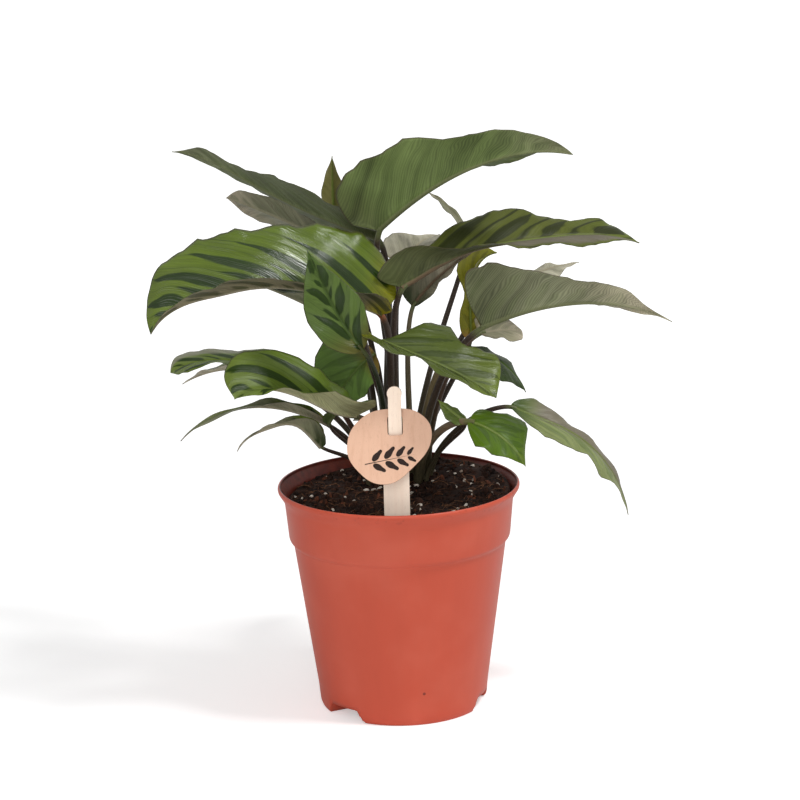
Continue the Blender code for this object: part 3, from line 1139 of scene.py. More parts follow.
    def build(self) -> bpy.types.Mesh:
        """Build the shell with both skins, its margin and the attributes that its pattern reads.

        Returns:
            The shell's mesh, in metres.
        """
        t, reach, share = self.grid()
        middle = self.middle(t, reach, share)
        normal = np.cross(np.gradient(middle, axis=1), np.gradient(middle, axis=0))
        normal /= np.maximum(np.linalg.norm(normal, axis=-1, keepdims=True), 1e-9)
        keel = self.keel(t)[:, None]
        hump = np.sqrt(np.maximum(0, 1 - (reach / keel) ** 2))
        half = self.thickness / 2 + (self.margin_thickness - self.thickness) / 2 * np.abs(share) ** 3
        upper = middle + normal * (half - self.groove * hump * np.minimum(1, keel))[..., None]
        lower = middle - normal * (half + self.keel_depth * keel * hump)[..., None]
        rows, columns = share.shape
        points = np.concatenate([upper.reshape(-1, 3), lower.reshape(-1, 3)]) * MM
        top = np.arange(rows * columns).reshape(rows, columns)
        under = rows * columns
        quads = [self.quads(top), self.quads(top + under)[:, [0, 3, 2, 1]]]
        around = np.concatenate([top[0], top[1:, -1], top[-1, -2::-1], top[-2:0:-1, 0]])
        ahead = np.roll(around, -1)
        quads.append(np.stack([around, around + under, ahead + under, ahead], axis=1))
        faces = np.concatenate(quads)
        mesh = bpy.data.meshes.new("blade_" + self.leaf.name)
        mesh.from_pydata(points.tolist(), [], faces.tolist())
        skin, index = len(quads[0]), np.arange(len(faces))
        mesh.polygons.foreach_set("material_index", ((index >= skin) & (index < 2 * skin)).astype(np.int32))
        mesh.polygons.foreach_set("use_smooth", index < 2 * skin)
        place = np.stack([(t * self.leaf.length)[:, None] * np.ones_like(share), reach, share], axis=-1)
        values = mesh.attributes.new("leaf_place", "FLOAT_VECTOR", "POINT")
        values.data.foreach_set("vector", np.tile(place.reshape(-1, 3), (2, 1)).ravel())
        shares = mesh.attributes.new("leaf_share", "FLOAT", "POINT")
        shares.data.foreach_set("value", np.tile(np.repeat(t, columns), 2))
        mesh.update()
        return mesh

    @staticmethod
    def quads(index: np.ndarray) -> np.ndarray:
        """Faces of a grid of point numbers, seen from above."""
        corners = [index[:-1, :-1], index[:-1, 1:], index[1:, 1:], index[1:, :-1]]
        return np.stack([corner.ravel() for corner in corners], axis=1)

    def dress(self, mesh: bpy.types.Mesh) -> bpy.types.Object:
        """Give the shell its two skins and put it in its node's place.

        Args:
            mesh: The shell.

        Returns:
            The finished piece.
        """
        leaf = self.leaf
        for skin, side in ((leaf.upper, "_upper"), (leaf.under, "_underside")):
            mesh.materials.append(replace(skin, layout=leaf.layout).dress(leaf.name + side))
        piece = linked("leaf_" + leaf.name, mesh)
        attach(piece, ROOT_BODY)
        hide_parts("blade_" + leaf.name)
        return piece


class StalkRecipe(Recipe):
    """The tree that makes one leaf stem: a sheathed foot, a slim middle and a thicker joint at the blade."""

    sides = 14
    steps = 44
    sway = 6.0
    profile = ((0.0, 1.5), (0.14, 1.3), (0.24, 1.0), (0.55, 0.86), (0.8, 0.84), (0.87, 1.06), (0.95, 1.04),
               (1.0, 0.85))

    def __init__(self) -> None:
        """Build the tree."""
        ends = ("Foot", "Foot_Handle", "Top_Handle", "Top")
        super().__init__("stalk", {**dict.fromkeys(ends, "Vector"), "Radius": "Float", "Seed": "Float"})
        graph = self.graph
        points = {number: self.given(label) for number, label in enumerate(ends, 1)}
        curve = graph.wire("GeometryNodeCurvePrimitiveBezierSegment", {0: self.steps, **points})
        share = graph.wire("GeometryNodeSplineParameter", output="Factor")
        bend = graph.math("SINE", share * math.pi) * (self.sway * MM)
        curve = self.moved(curve, graph.drift(graph.vector(share * 2.2, self.given("Seed")), 1.0, 1.0, bend))
        curve = self.stored(curve, "stalk_share", share)
        size = self.thickness(share) * 2.0 * self.given("Radius")
        ring = graph.wire("GeometryNodeCurvePrimitiveCircle", {0: self.sides, 4: 1.0})
        turn = graph.wire("GeometryNodeSplineParameter", output="Factor")
        ring = self.stored(ring, "stalk_turn", abs(turn * 2.0 - 1.0))
        self.close(graph.wire("GeometryNodeCurveToMesh", {0: curve, 1: ring, 2: size, 3: True}))

    def thickness(self, share: Wire) -> Wire:
        """Half of the profile's size at a share of the stem. A curve node holds values up to 1.

        Args:
            share: The share of the way up the stem.

        Returns:
            The wire of the half size.
        """
        node = self.graph.node("ShaderNodeFloatCurve", {0: 1.0, 1: share})
        course = node.mapping.curves[0]
        node.mapping.use_clip = False
        for point, (place, size) in zip(course.points, (self.profile[0], self.profile[-1])):
            point.location = (place, size / 2)
        for place, size in self.profile[1:-1]:
            course.points.new(place, size / 2)
        node.mapping.update()
        return Wire(self.graph, node.outputs[0])


@dataclass
class Foliage:
    """All the leaves, each a blade on a stem that stands in the soil."""

    leaves: tuple[Leaf, ...]
    soil_top: float
    finish: StalkFinish = StalkFinish()
    into_soil: float = 4.0
    into_blade: float = 3.0

    def build(self) -> list[bpy.types.Object]:
        """Build and dress every blade and stem.

        Returns:
            The finished pieces.
        """
        recipe = StalkRecipe()
        pieces = []
        for number, leaf in enumerate(self.leaves):
            blade = Blade(leaf, seed=number + 1)
            pieces.append(blade.dress(blade.build()))
            pieces.append(self.stem(recipe, leaf, number))
        return pieces

    def stem(self, recipe: StalkRecipe, leaf: Leaf, number: int) -> bpy.types.Object:
        """Make one stem.

        Args:
            recipe: The tree that makes stems.
            leaf: The leaf that it carries.
            number: The leaf's number, for the stem's own bends.

        Returns:
            The finished piece.
        """
        tangent = leaf.direction(0.0)
        foot = np.array([*leaf.root, self.soil_top])
        top = np.array(leaf.start, float)
        reach = float(np.linalg.norm(top - foot))
        rise = foot + np.array([0, 0, reach * leaf.rise])
        lead = top - tangent * reach * leaf.hook
        foot = foot - np.array([0, 0, self.into_soil])
        top = top + tangent * self.into_blade
        name = "stem_" + leaf.name
        piece = recipe.run(
            "stalk_" + leaf.name, bpy.data.meshes.new(name), Foot=foot * MM, Foot_Handle=rise * MM,
            Top_Handle=lead * MM, Top=top * MM, Radius=leaf.stem * MM, Seed=float(number),
            Material=replace(self.finish, joint=leaf.joint, middle=leaf.stalk).dress(name),
        )
        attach(piece, ROOT_BODY)
        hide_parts(name)
        return piece


# Pot and soil ----------------------------------------------------------------


@dataclass
class NurseryPot:
    """A thin moulded pot: three drainage channels under its floor, a stepped collar and a rolled lip.

    Outlines are rows of (radius, height), the lip's from the rim. Each channel runs outwards at its own
    azimuth, and its roof is flat up to one angle to each side of that and meets the floor at another.
    """

    rim_radius: float
    height: float
    wall: float = 1.0
    segments: int = 192
    floor: tuple = ((0.0, 0.0), (12.0, 0.0), (18.0, 0.0), (23.5, 0.0), (29.0, 0.0), (34.0, 0.0))
    floor_edge: tuple = (39.4, 0.0)
    foot: tuple = ((41.0, 0.0), (42.1, 2.4), (42.9, 11.0))
    collar: tuple = ((53.1, 83.6), (53.5, 85.4), (55.4, 87.2), (57.2, 106.6))
    lip: tuple = ((-1.6, -4.2), (-0.1, -2.0), (-0.1, -0.7), (-0.5, -0.1))
    crown_inset: float = 1.0
    mouth_inset: float = 0.5
    mouth_drop: float = 0.3
    wall_steps: int = 8
    rounding: float = 1.6
    channel_height: float = 6.5
    channel_centres: tuple = (-46.5, 73.5, 193.5)
    channel_flat: float = 12.5
    channel_foot: float = 17.5
    channel_start: float = 12.0
    channel_full: float = 18.0
    hole_radius: float = 3.5
    hole_depth: float = 6.0
    hole_segments: int = 40
    hole_rings: tuple = (23.5, 34.0)
    finish: PotPlastic = PotPlastic()

    def profile(self) -> list[Point]:
        """The outer outline, from the axis to the top of the lip.

        Returns:
            Points of (radius, height) in millimetres.
        """
        lip = [(self.rim_radius + out, self.height + up) for out, up in self.lip]
        low, high = np.array(self.foot[-1]), np.array(self.collar[0])
        shares = np.linspace(0, 1, self.wall_steps + 1)[1:-1]
        straight = [tuple(low + (high - low) * share) for share in shares]
        corners = [self.floor_edge, *self.foot, *straight, *self.collar, *lip]
        return [*self.floor, *softened(corners, self.rounding)]

    def section(self) -> list[Point]:
        """The whole outline: out along the outer skin, over the lip and back along the inner skin.

        Returns:
            Points of (radius, height) in millimetres.
        """
        outer = self.profile()
        inner = []
        for before, point, after in zip(outer, outer[1:], outer[2:]):
            run = (Vector(after) - Vector(before)).normalized()
            inner.append((point[0] - run.y * self.wall, point[1] + run.x * self.wall))
        crown = (self.rim_radius - self.crown_inset, self.height)
        mouth = (self.rim_radius - self.wall - self.mouth_inset, self.height - self.mouth_drop)
        return [*outer, crown, mouth, *inner[::-1], (0.0, self.wall)]

    def lift(self, x: float, y: float) -> float:
        """Height that the channels give to the pot's floor at a place, in millimetres.

        Args:
            x: The place's x in millimetres.
            y: Its y.

        Returns:
            The height, which is 0 beside the channels.
        """
        radius = math.hypot(x, y)
        if radius <= self.channel_start:
            return 0.0
        azimuth = math.degrees(math.atan2(x, -y))
        away = min(abs((azimuth - centre + 180) % 360 - 180) for centre in self.channel_centres)
        side = (self.channel_foot - away) / (self.channel_foot - self.channel_flat)
        ramp = (radius - self.channel_start) / (self.channel_full - self.channel_start)
        return self.channel_height * max(0.0, min(1.0, side)) * min(1.0, ramp)

    def build(self) -> bpy.types.Object:
        """Turn the shell, raise its channels and cut the drain holes.

        Returns:
            The bare shell.
        """
        mesh = turned("pot_shell", self.section(), self.segments)
        for vertex in mesh.vertices:
            x, y, z = (value / MM for value in vertex.co)
            lift = self.lift(x, y)
            if lift and z < self.channel_height + self.wall:
                inside = z > self.wall / 2 and math.hypot(x, y) < self.outer_radius(z) - self.wall / 2
                vertex.co.z = max(z, lift + (self.wall if inside else 0.0)) * MM
        pot, holes = linked("pot_shell", mesh), linked("drain_holes", self.drills())
        modifier = pot.modifiers.new("holes", "BOOLEAN")
        modifier.operation, modifier.solver, modifier.object = "DIFFERENCE", "EXACT", holes
        pot = settled(pot)
        bpy.data.objects.remove(holes, do_unlink=True)
        return pot

    def drills(self) -> bpy.types.Mesh:
        """Plugs in the shape of the drain holes.

        Returns:
            One mesh of all the plugs.
        """
        bm = bmesh.new()
        size = self.hole_radius * MM
        for azimuth in map(math.radians, self.channel_centres):
            for ring in self.hole_rings:
                place = Vector((ring * math.sin(azimuth), -ring * math.cos(azimuth), self.channel_height))
                bmesh.ops.create_cone(
                    bm, cap_ends=True, segments=self.hole_segments, radius1=size, radius2=size,
                    depth=self.hole_depth * MM, matrix=Matrix.Translation(place * MM),
                )
        return written("drain_holes", bm)

    def outer_radius(self, height: float) -> float:
        """Radius of the outer skin at a height below the collar."""
        radii, heights = zip(*self.profile()[len(self.floor):])
        return float(np.interp(height, heights, radii))

    def dress(self, pot: bpy.types.Object) -> bpy.types.Object:
        """Give the pot its plastic.

        Args:
            pot: The bare shell.

        Returns:
            The finished piece.
        """
        pot.data.materials.clear()
        pot.data.materials.append(replace(self.finish, rim_height=self.height).dress("pot_plastic"))
        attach(pot, ROOT_BODY)
        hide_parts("pot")
        return pot


class GroundRecipe(Recipe):
    """The tree that roughens the top of a turned block into settled soil."""

    fine_scale = 330.0
    fine_lumps = 3.4
    broad_scale = 60.0
    broad_lumps = 3.0
    fade = 2.0

    def __init__(self) -> None:
        """Build the tree."""
        super().__init__("ground", {"Level": "Float", "Edge": "Float"})
        graph, edge = self.graph, self.given("Edge")
        place = graph.wire("GeometryNodeInputPosition")
        x, y, z = graph.parts(place)
        fine = (graph.noise(place, self.fine_scale, 5.0, 0.62) - 0.5) * (self.fine_lumps * MM)
        broad = (graph.noise(place, self.broad_scale) - 0.5) * (self.broad_lumps * MM)
        inside = graph.ramp(graph.radius(x, y), edge - self.fade * MM, edge, 1.0, 0.0)
        rise = (fine + broad) * (z > self.given("Level")) * inside
        self.close(self.moved(self.given("Geometry"), graph.vector(0.0, 0.0, rise)))


class GrainRecipe(Recipe):
    """The tree that scatters rough grains over a surface."""

    bump_scale = 520.0

    def __init__(self) -> None:
        """Build the tree."""
        super().__init__("grains", {
            "Density": "Float", "Seed": "Int", "Least": "Vector", "Most": "Vector", "Roughness": "Float",
            "Detail": "Int", "Sink": "Float",
        })
        graph = self.graph
        points = self.moved(self.strewn(), graph.vector(0.0, 0.0, self.given("Sink") * -1.0))
        grain = graph.wire("GeometryNodeMeshIcoSphere", {0: 1.0, 1: self.given("Detail")})
        turn = self.chance((0.0, 0.0, 0.0), (math.tau,) * 3, 3)
        size = self.chance(self.given("Least"), self.given("Most"), 5)
        real = graph.wire("GeometryNodeRealizeInstances", {0: self.placed(points, grain, turn, size)})
        place = graph.wire("GeometryNodeInputPosition")
        self.close(self.moved(real, graph.drift(place, self.bump_scale, 2.0, self.given("Roughness"))))


class FibreRecipe(Recipe):
    """The tree that strews short curved fibres of peat and root over a surface."""

    bow = ((-0.5, 0.0, -0.04), (0.0, 0.34, 0.26), (0.5, -0.08, 0.0))
    lengths = (0.4, 1.4)
    tilt = 0.3

    def __init__(self) -> None:
        """Build the tree."""
        inputs = {"Density": "Float", "Seed": "Int", "Length": "Float", "Radius": "Float"}
        super().__init__("fibres", inputs)
        graph, length = self.graph, self.given("Length")
        strand = graph.wire("GeometryNodeCurveQuadraticBezier", {0: 8, **dict(enumerate(self.bow, 1))})
        ring = graph.wire("GeometryNodeCurvePrimitiveCircle", {0: 5, 4: self.given("Radius") / length})
        strand = graph.wire("GeometryNodeCurveToMesh", {0: strand, 1: ring, 3: True})
        turn = self.chance((-self.tilt, -self.tilt, 0.0), (self.tilt, self.tilt, math.tau), 3)
        size = graph.wire("FunctionNodeRandomValue", {**dict(enumerate(self.lengths, 2)), 8: 4}, 1) * length
        self.close(self.placed(self.strewn(), strand, turn, size))


@dataclass(frozen=True)
class Scatter:
    """One kind of loose grain: how many, how big, and its finish. Sizes are half-lengths."""

    name: str
    per_square_metre: float
    least: tuple[float, float, float]
    most: tuple[float, float, float]
    finish: Finish
    seed: int
    detail: int = 2
    roughness: float = 0.5
    sink: float = 0.3


@dataclass(frozen=True)
class Fibres:
    """The loose fibres: how many, how long and thick, and their finish."""

    per_square_metre: float = 26000.0
    length: float = 7.0
    radius: float = 0.17
    seed: int = 21
    finish: Crumbs = Crumbs(dark=(70, 46, 34), light=(134, 96, 70), grain=1500.0, depth=0.1)


@dataclass(frozen=True)
class Heap:
    """The soil's high side, where it was filled almost to the rim: which way, how high and how steep."""

    towards: tuple = (0.75, 0.66, 0.0)
    height: float = 6.0
    start: float = 0.6
    steepness: float = 1.5
    depth: float = 6.0
    fade: float = 3.0


@dataclass
class PottingSoil:
    """Dark peat mix: a rough settled surface with crumbs, bark, perlite and fibres lying on it.

    The block's outline drops at the edge of its top, goes round a shoulder and down the lower points.
    """

    top: float
    radius: float
    edge_drop: float = 1.2
    edge_inset: float = 1.0
    shoulder_inset: float = 2.2
    shoulder_height: float = 89.0
    lower: tuple = ((51.6, 83.0), (40.8, 7.8), (0.0, 7.8))
    segments: int = 128
    rings: int = 44
    strew_radius: float = 53.5
    heap: Heap = Heap()
    fibres: Fibres = Fibres()
    finish: Crumbs = Crumbs()
    scatters: tuple[Scatter, ...] = (
        Scatter("crumbs", 170000, (0.5, 0.45, 0.4), (1.7, 1.4, 1.1), Crumbs(), seed=11, roughness=1.5),
        Scatter("clods", 17000, (1.5, 1.3, 1.0), (3.4, 2.8, 1.8),
                Crumbs(dark=(26, 18, 16), light=(66, 42, 32)), seed=12, detail=3, roughness=3.0),
        Scatter("bark", 9000, (1.2, 0.6, 0.25), (3.6, 1.6, 0.7),
                Crumbs(dark=(58, 34, 26), light=(116, 70, 50), grain=1200.0), seed=13, roughness=1.0),
        Scatter("perlite", 10000, (0.3, 0.3, 0.25), (1.9, 1.7, 1.3), Grit(), seed=14, roughness=1.0,
                sink=0.1),
    )

    def build(self) -> list[bpy.types.Object]:
        """Build the ground and everything that lies on it.

        Returns:
            The finished pieces, the ground first.
        """
        ground = self.ground()
        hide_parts("soil")
        bm = bmesh.new()
        bmesh.ops.create_circle(bm, cap_ends=True, radius=self.strew_radius * MM, segments=48)
        bmesh.ops.translate(bm, verts=bm.verts, vec=(0, 0, self.top * MM))
        area = written("soil_area", bm)
        grains, pieces = GrainRecipe(), [ground]
        for kind in self.scatters:
            pieces.append(grains.run(
                "soil_" + kind.name, area.copy(), Density=kind.per_square_metre, Seed=kind.seed,
                Least=[size * MM for size in kind.least], Most=[size * MM for size in kind.most],
                Roughness=kind.roughness * MM, Detail=kind.detail, Sink=kind.sink * MM,
                Material=kind.finish.dress("soil_" + kind.name),
            ))
        fibres = self.fibres
        pieces.append(FibreRecipe().run(
            "soil_fibres", area.copy(), Density=fibres.per_square_metre, Seed=fibres.seed,
            Length=fibres.length * MM, Radius=fibres.radius * MM, Material=fibres.finish.dress("soil_fibres"),
        ))
        for piece in pieces:
            self.raise_high_side(piece)
            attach(piece, ROOT_BODY)
        return pieces

    def raise_high_side(self, piece: bpy.types.Object) -> None:
        """Raise the top of the soil towards its high side.

        Args:
            piece: The ground or one kind of grain.
        """
        heap = self.heap
        flat = np.empty(len(piece.data.vertices) * 3)
        piece.data.vertices.foreach_get("co", flat)
        points = flat.reshape(-1, 3)
        ahead = (points @ np.array(heap.towards)) / (self.radius * MM)
        share = np.clip((ahead + heap.start) / (1 + heap.start), 0, 1) ** heap.steepness
        near_top = np.clip((points[:, 2] / MM - self.top + heap.depth) / heap.fade, 0, 1)
        points[:, 2] += share * heap.height * MM * near_top
        piece.data.vertices.foreach_set("co", points.ravel())
        piece.data.update()

    def ground(self) -> bpy.types.Object:
        """Make the block of soil with its rough top.

        Returns:
            The ground's piece, still level.
        """
        level = [(self.radius * share, self.top) for share in np.linspace(0, 1, self.rings + 1)[:-1]]
        edge = (self.radius, self.top - self.edge_drop)
        shoulder = (self.radius - self.shoulder_inset, self.shoulder_height)
        mesh = turned("soil_ground", [*level, edge, shoulder, *self.lower], self.segments)
        return GroundRecipe().run(
            "soil_ground", mesh, Material=self.finish.dress("soil_ground"),
            Level=(self.top - self.edge_drop / 2) * MM, Edge=(self.radius - self.edge_inset) * MM,
        )


# Stake and tag ---------------------------------------------------------------


class Handle(Enum):
    """How a flat outline runs through its points."""

    ROUND = "AUTO"
    STRAIGHT = "VECTOR"


Outline = tuple[list[Point], Handle]


def flat_sheet(
    name: str, outlines: list[Outline], thickness: float, place: Matrix, ease: float = 0.12
) -> bpy.types.Object:
    """Cut a flat sheet from closed outlines.

    Args:
        name: The piece's name.
        outlines: The sheet's outline, then its holes, each with how it runs through its points.
        thickness: The sheet's thickness in millimetres.
        place: Where the sheet goes, in metres.
        ease: How far its sharp edges are eased, in millimetres.

    Returns:
        A plain mesh piece with a face attribute that marks the cut edge.
    """
    curve = bpy.data.curves.new(name, "CURVE")
    curve.dimensions, curve.fill_mode = "2D", "BOTH"
    curve.extrude, curve.bevel_depth = (thickness / 2 - ease) * MM, ease * MM
    curve.bevel_resolution, curve.resolution_u, curve.offset = 1, 20, -ease * MM
    for points, handle in outlines:
        spline = curve.splines.new("BEZIER")
        spline.bezier_points.add(len(points) - 1)
        spline.use_cyclic_u = True
        for point, (x, y) in zip(spline.bezier_points, points):
            point.co = (x * MM, y * MM, 0)
            point.handle_left_type = point.handle_right_type = handle.value
    sheet = settled(linked(name, curve))
    mesh = sheet.data
    bm = bmesh.new()
    bm.from_mesh(mesh)
    bmesh.ops.remove_doubles(bm, verts=bm.verts, dist=SHEET_WELD * MM)
    bmesh.ops.recalc_face_normals(bm, faces=bm.faces)
    layer = bm.faces.layers.float.new("cut_edge")
    for face in bm.faces:
        face[layer] = 1.0 if abs(face.normal.z) < 0.5 else 0.0
        face.smooth = False
    bm.to_mesh(mesh)
    bm.free()
    mesh.transform(place)
    mesh.update()
    return sheet


@dataclass(frozen=True)
class Sprig:
    """The print on the tag: a straight stalk with pairs of pointed leaves, which stay clear of it.

    The foot and the tip are on the tag's face, from the centre of its slot. Each pair of leaves has its
    share of the way along the stalk and its length, and its two leaves have the turns.
    """

    foot: Point = (-15.0, -18.4)
    tip: Point = (9.5, -14.0)
    half_width: float = 0.25
    pairs: tuple = ((0.12, 8.2), (0.36, 8.6), (0.6, 7.4), (0.82, 5.4))
    turns: tuple = (50, -30)
    petal: tuple = ((0.16, 0.0), (0.38, 0.17), (0.7, 0.13), (1.0, 0.0), (0.7, -0.13), (0.38, -0.17))
    thickness: float = 0.06
    ease: float = 0.01

    def outlines(self) -> list[Outline]:
        """Outlines of the stalk and the leaves.

        Returns:
            The outlines in millimetres, on the tag's face.
        """
        foot, tip = Vector(self.foot), Vector(self.tip)
        across = (tip - foot).orthogonal().normalized() * self.half_width
        outlines = [([tuple(foot - across), tuple(tip), tuple(foot + across)], Handle.STRAIGHT)]
        for share, size in self.pairs:
            for turn in map(math.radians, self.turns):
                ahead = Vector((math.cos(turn), math.sin(turn))) * size
                aside = Vector((-ahead.y, ahead.x))
                base = foot.lerp(tip, share)
                points = [tuple(base + ahead * run + aside * off) for run, off in self.petal]
                outlines.append((points, Handle.ROUND))
        return outlines

    def build(self, place: Matrix) -> bpy.types.Object:
        """Print the sprig at a place."""
        return flat_sheet("label_sprig", self.outlines(), self.thickness, place, self.ease)


@dataclass
class PlantLabel:
    """The flat stake and the rounded tag that hangs on its head, with a plain leaf sprig printed on it."""

    place: tuple = (-1.0, -46.0)
    thickness: float = 1.2
    width: float = 12.6
    head_width: float = 7.3
    neck_width: float = 6.6
    bottom: float = 62.0
    shoulder: float = 148.0
    shoulder_slope: float = 4.0
    top: float = 175.0
    slot_height: float = 155.3
    lean: float = 18.0
    slot: tuple = (7.3, 9.4)
    slot_rounding: float = 1.5
    outline: tuple = (
        (-23.4, -10.0), (-16.6, 3.6), (-1.5, 8.2), (13.4, 4.6), (17.6, -5.0), (8.0, -20.6), (-6.0, -28.3),
        (-18.8, -21.2),
    )
    wood: BareWood = BareWood()
    stake_wood: BareWood = BareWood(colour=(255, 234, 214), band=(248, 222, 200))
    ink: Print = Print()
    sprig: Sprig = Sprig()

    def build(self) -> list[bpy.types.Object]:
        """Build and dress the stake, the tag and its print.

        Returns:
            The finished pieces.
        """
        stake = self.stake()
        stake.data.materials.append(self.stake_wood.dress("stake_wood"))
        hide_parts("stake")
        tilt = Matrix.Rotation(math.radians(90 - self.lean), 4, "X")
        place = Matrix.Translation(Vector((*self.place, self.slot_height)) * MM) @ tilt
        tag = self.tag(place)
        tag.data.materials.append(self.wood.dress("tag_wood"))
        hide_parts("tag")
        above = (self.thickness + self.sprig.thickness) / 2 * MM
        sprig = self.sprig.build(place @ Matrix.Translation((0, 0, above)))
        sprig.data.materials.append(self.ink.dress("sprig_ink"))
        pieces = [stake, tag, sprig]
        for piece in pieces:
            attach(piece, ROOT_BODY)
        return pieces

    def stake(self) -> bpy.types.Object:
        """Cut the stake: wide in the soil, with a rounded head on a narrow neck.

        Returns:
            The bare stake.
        """
        half, head, neck = self.width / 2, self.head_width / 2, self.neck_width / 2
        turn = [math.radians(angle) for angle in range(-30, 211, 20)]
        crown = [(head * math.cos(angle), self.top - head + head * math.sin(angle)) for angle in turn]
        wide = self.shoulder - self.shoulder_slope
        points = [(-half, self.bottom), (half, self.bottom), (half, wide), (neck, self.shoulder)]
        points += [*crown, (-neck, self.shoulder), (-half, wide)]
        place = Matrix.Translation(Vector((*self.place, 0)) * MM) @ Matrix.Rotation(math.radians(90), 4, "X")
        return flat_sheet("label_stake", [(points, Handle.STRAIGHT)], self.thickness, place)

    def tag(self, place: Matrix) -> bpy.types.Object:
        """Cut the tag with its slot.

        Args:
            place: Where the tag's face goes, in metres.

        Returns:
            The bare tag.
        """
        x, y = self.slot[0] / 2, self.slot[1] / 2
        slot = softened([(0.0, -y), (x, -y), (x, y), (-x, y), (-x, -y), (0.0, -y)], self.slot_rounding)
        outlines = [(list(self.outline), Handle.ROUND), (slot[:-1], Handle.STRAIGHT)]
        return flat_sheet("label_tag", outlines, self.thickness, place)


# Studio ----------------------------------------------------------------------


def aimed(place: tuple, target: tuple, roll: float = 0.0) -> Matrix:
    """Where a lamp or a camera at a place goes, so that it looks at a target, rolled by some degrees."""
    look = Vector(target) - Vector(place)
    turn = look.to_track_quat("-Z", "Y").to_matrix().to_4x4()
    return Matrix.Translation(place) @ turn @ Matrix.Rotation(math.radians(roll), 4, "Z")


@dataclass(frozen=True)
class Lamp:
    """A soft square light: its place and its target in metres, size in metres and power in watts."""

    name: str
    place: tuple[float, float, float]
    target: tuple[float, float, float]
    size: float
    power: float


@dataclass
class Studio:
    """A plain white floor and background, soft light and the camera. Its sizes are in metres."""

    camera_place: tuple = (0.0, -1.5, 0.532)
    camera_target: tuple = (0.00175, 0.0, 0.1565)
    camera_lens: float = 140.1
    camera_roll: float = -1.41
    world: float = 0.36
    floor_size: float = 6.0
    floor_shade: float = 0.94
    floor_glow: tuple = (0.4, 0.7)
    floor_glow_radii: tuple = (0.25, 1.2)
    lamps: tuple[Lamp, ...] = (
        Lamp("overhead", (0.7, -0.35, 1.35), (0.0, 0.0, 0.18), 0.3, 12.0),
        Lamp("front", (-0.4, -2.0, 1.0), (0.0, 0.0, 0.12), 1.4, 19.0),
    )

    def build(self) -> None:
        """Set up the camera, lights, floor and world."""
        scene = bpy.context.scene
        scene.view_settings.view_transform = "Standard"
        data = bpy.data.cameras.new("camera")
        data.lens = self.camera_lens
        scene.camera = linked("camera", data)
        scene.camera.matrix_world = aimed(self.camera_place, self.camera_target, self.camera_roll)
        for lamp in self.lamps:
            self.light(lamp)
        self.floor()
        scene.world = self.surroundings()

    @staticmethod
    def light(lamp: Lamp) -> None:
        """Hang one soft light."""
        data = bpy.data.lights.new(lamp.name, "AREA")
        data.shape, data.size, data.energy = "SQUARE", lamp.size, lamp.power
        linked(lamp.name, data).matrix_world = aimed(lamp.place, lamp.target)

    def floor(self) -> None:
        """Lay the white floor, which keeps the plant's shadow and glows more, the further it is away."""
        bm = bmesh.new()
        bmesh.ops.create_grid(bm, x_segments=1, y_segments=1, size=self.floor_size)
        mesh = written("studio_floor", bm)
        floor = linked("studio_floor", mesh)
        material = bpy.data.materials.new("studio_white")
        material.use_nodes = True
        graph = Graph(material.node_tree)
        inputs = material.node_tree.nodes["Principled BSDF"].inputs
        shade = graph.noise(graph.place(), 3.0) * 0.01 + self.floor_shade
        graph.feed(inputs["Base Color"], graph.vector(shade, shade, shade))
        inputs["Roughness"].default_value = 0.9
        inputs["Emission Color"].default_value = (1, 1, 1, 1)
        x, y, _ = graph.parts(graph.place())
        glow = graph.ramp(graph.radius(x, y), *self.floor_glow_radii, *self.floor_glow)
        seen = graph.wire("ShaderNodeLightPath", output="Is Camera Ray")
        graph.feed(inputs["Emission Strength"], seen * glow)
        mesh.materials.append(material)

    def surroundings(self) -> bpy.types.World:
        """White background for the camera and reflections, softer light for the plant.

        Returns:
            The world.
        """
        world = bpy.data.worlds.new("studio_world")
        world.use_nodes = True
        graph = Graph(world.node_tree)
        inputs = world.node_tree.nodes["Background"].inputs
        path = graph.node("ShaderNodeLightPath")
        camera, clear, glossy = (
            Wire(graph, path.outputs[f"Is {kind} Ray"]) for kind in ("Camera", "Transmission", "Glossy")
        )
        seen = graph.math("MAXIMUM", graph.math("MAXIMUM", camera, clear), glossy)
        graph.feed(inputs["Strength"], seen * (1 - self.world) + self.world)
        inputs["Color"].default_value = (1, 1, 1, 1)
        return world


# The plant -------------------------------------------------------------------

UPPER = Skin(
    ground=(92, 110, 30), stripe=(44, 60, 12), base=(108, 108, 20), tip=(96, 110, 42), rib=(106, 120, 56),
    edge=(66, 58, 46), roughness=0.3, specular=0.15,
)
UPPER_GLOSSY = replace(
    UPPER, ground=(80, 98, 22), stripe=(30, 48, 4), tip=(88, 104, 32), roughness=0.18, specular=0.27,
    depth=0.3, tides=0.8,
)
UPPER_FRONT = replace(
    UPPER, ground=(86, 105, 32), stripe=(36, 54, 8), base=(56, 78, 16), tip=(98, 113, 50),
    band=(128, 128, 108), roughness=0.34,
)
UPPER_DEEP = replace(UPPER, ground=(82, 98, 28), stripe=(42, 56, 14), tip=(84, 98, 38), rib=(98, 110, 52))
UPPER_OLIVE = replace(
    UPPER, ground=(78, 84, 34), stripe=(42, 47, 18), base=(68, 72, 34), tip=(84, 94, 32), roughness=0.4,
    specular=0.1, band=(100, 94, 80), band_from=0.0, band_to=0.8, band_start=0.42,
)
UPPER_DARK = replace(
    UPPER, ground=(68, 88, 34), stripe=(30, 46, 10), base=(92, 78, 34), tip=(64, 84, 34), rib=(78, 96, 44),
    base_reach=0.3, roughness=0.32, specular=0.2,
)
UPPER_SHADED = replace(
    UPPER_DARK, contrast=0.35, ground=(84, 110, 48), base=(112, 90, 40), tip=(60, 82, 34), specular=0.12,
)
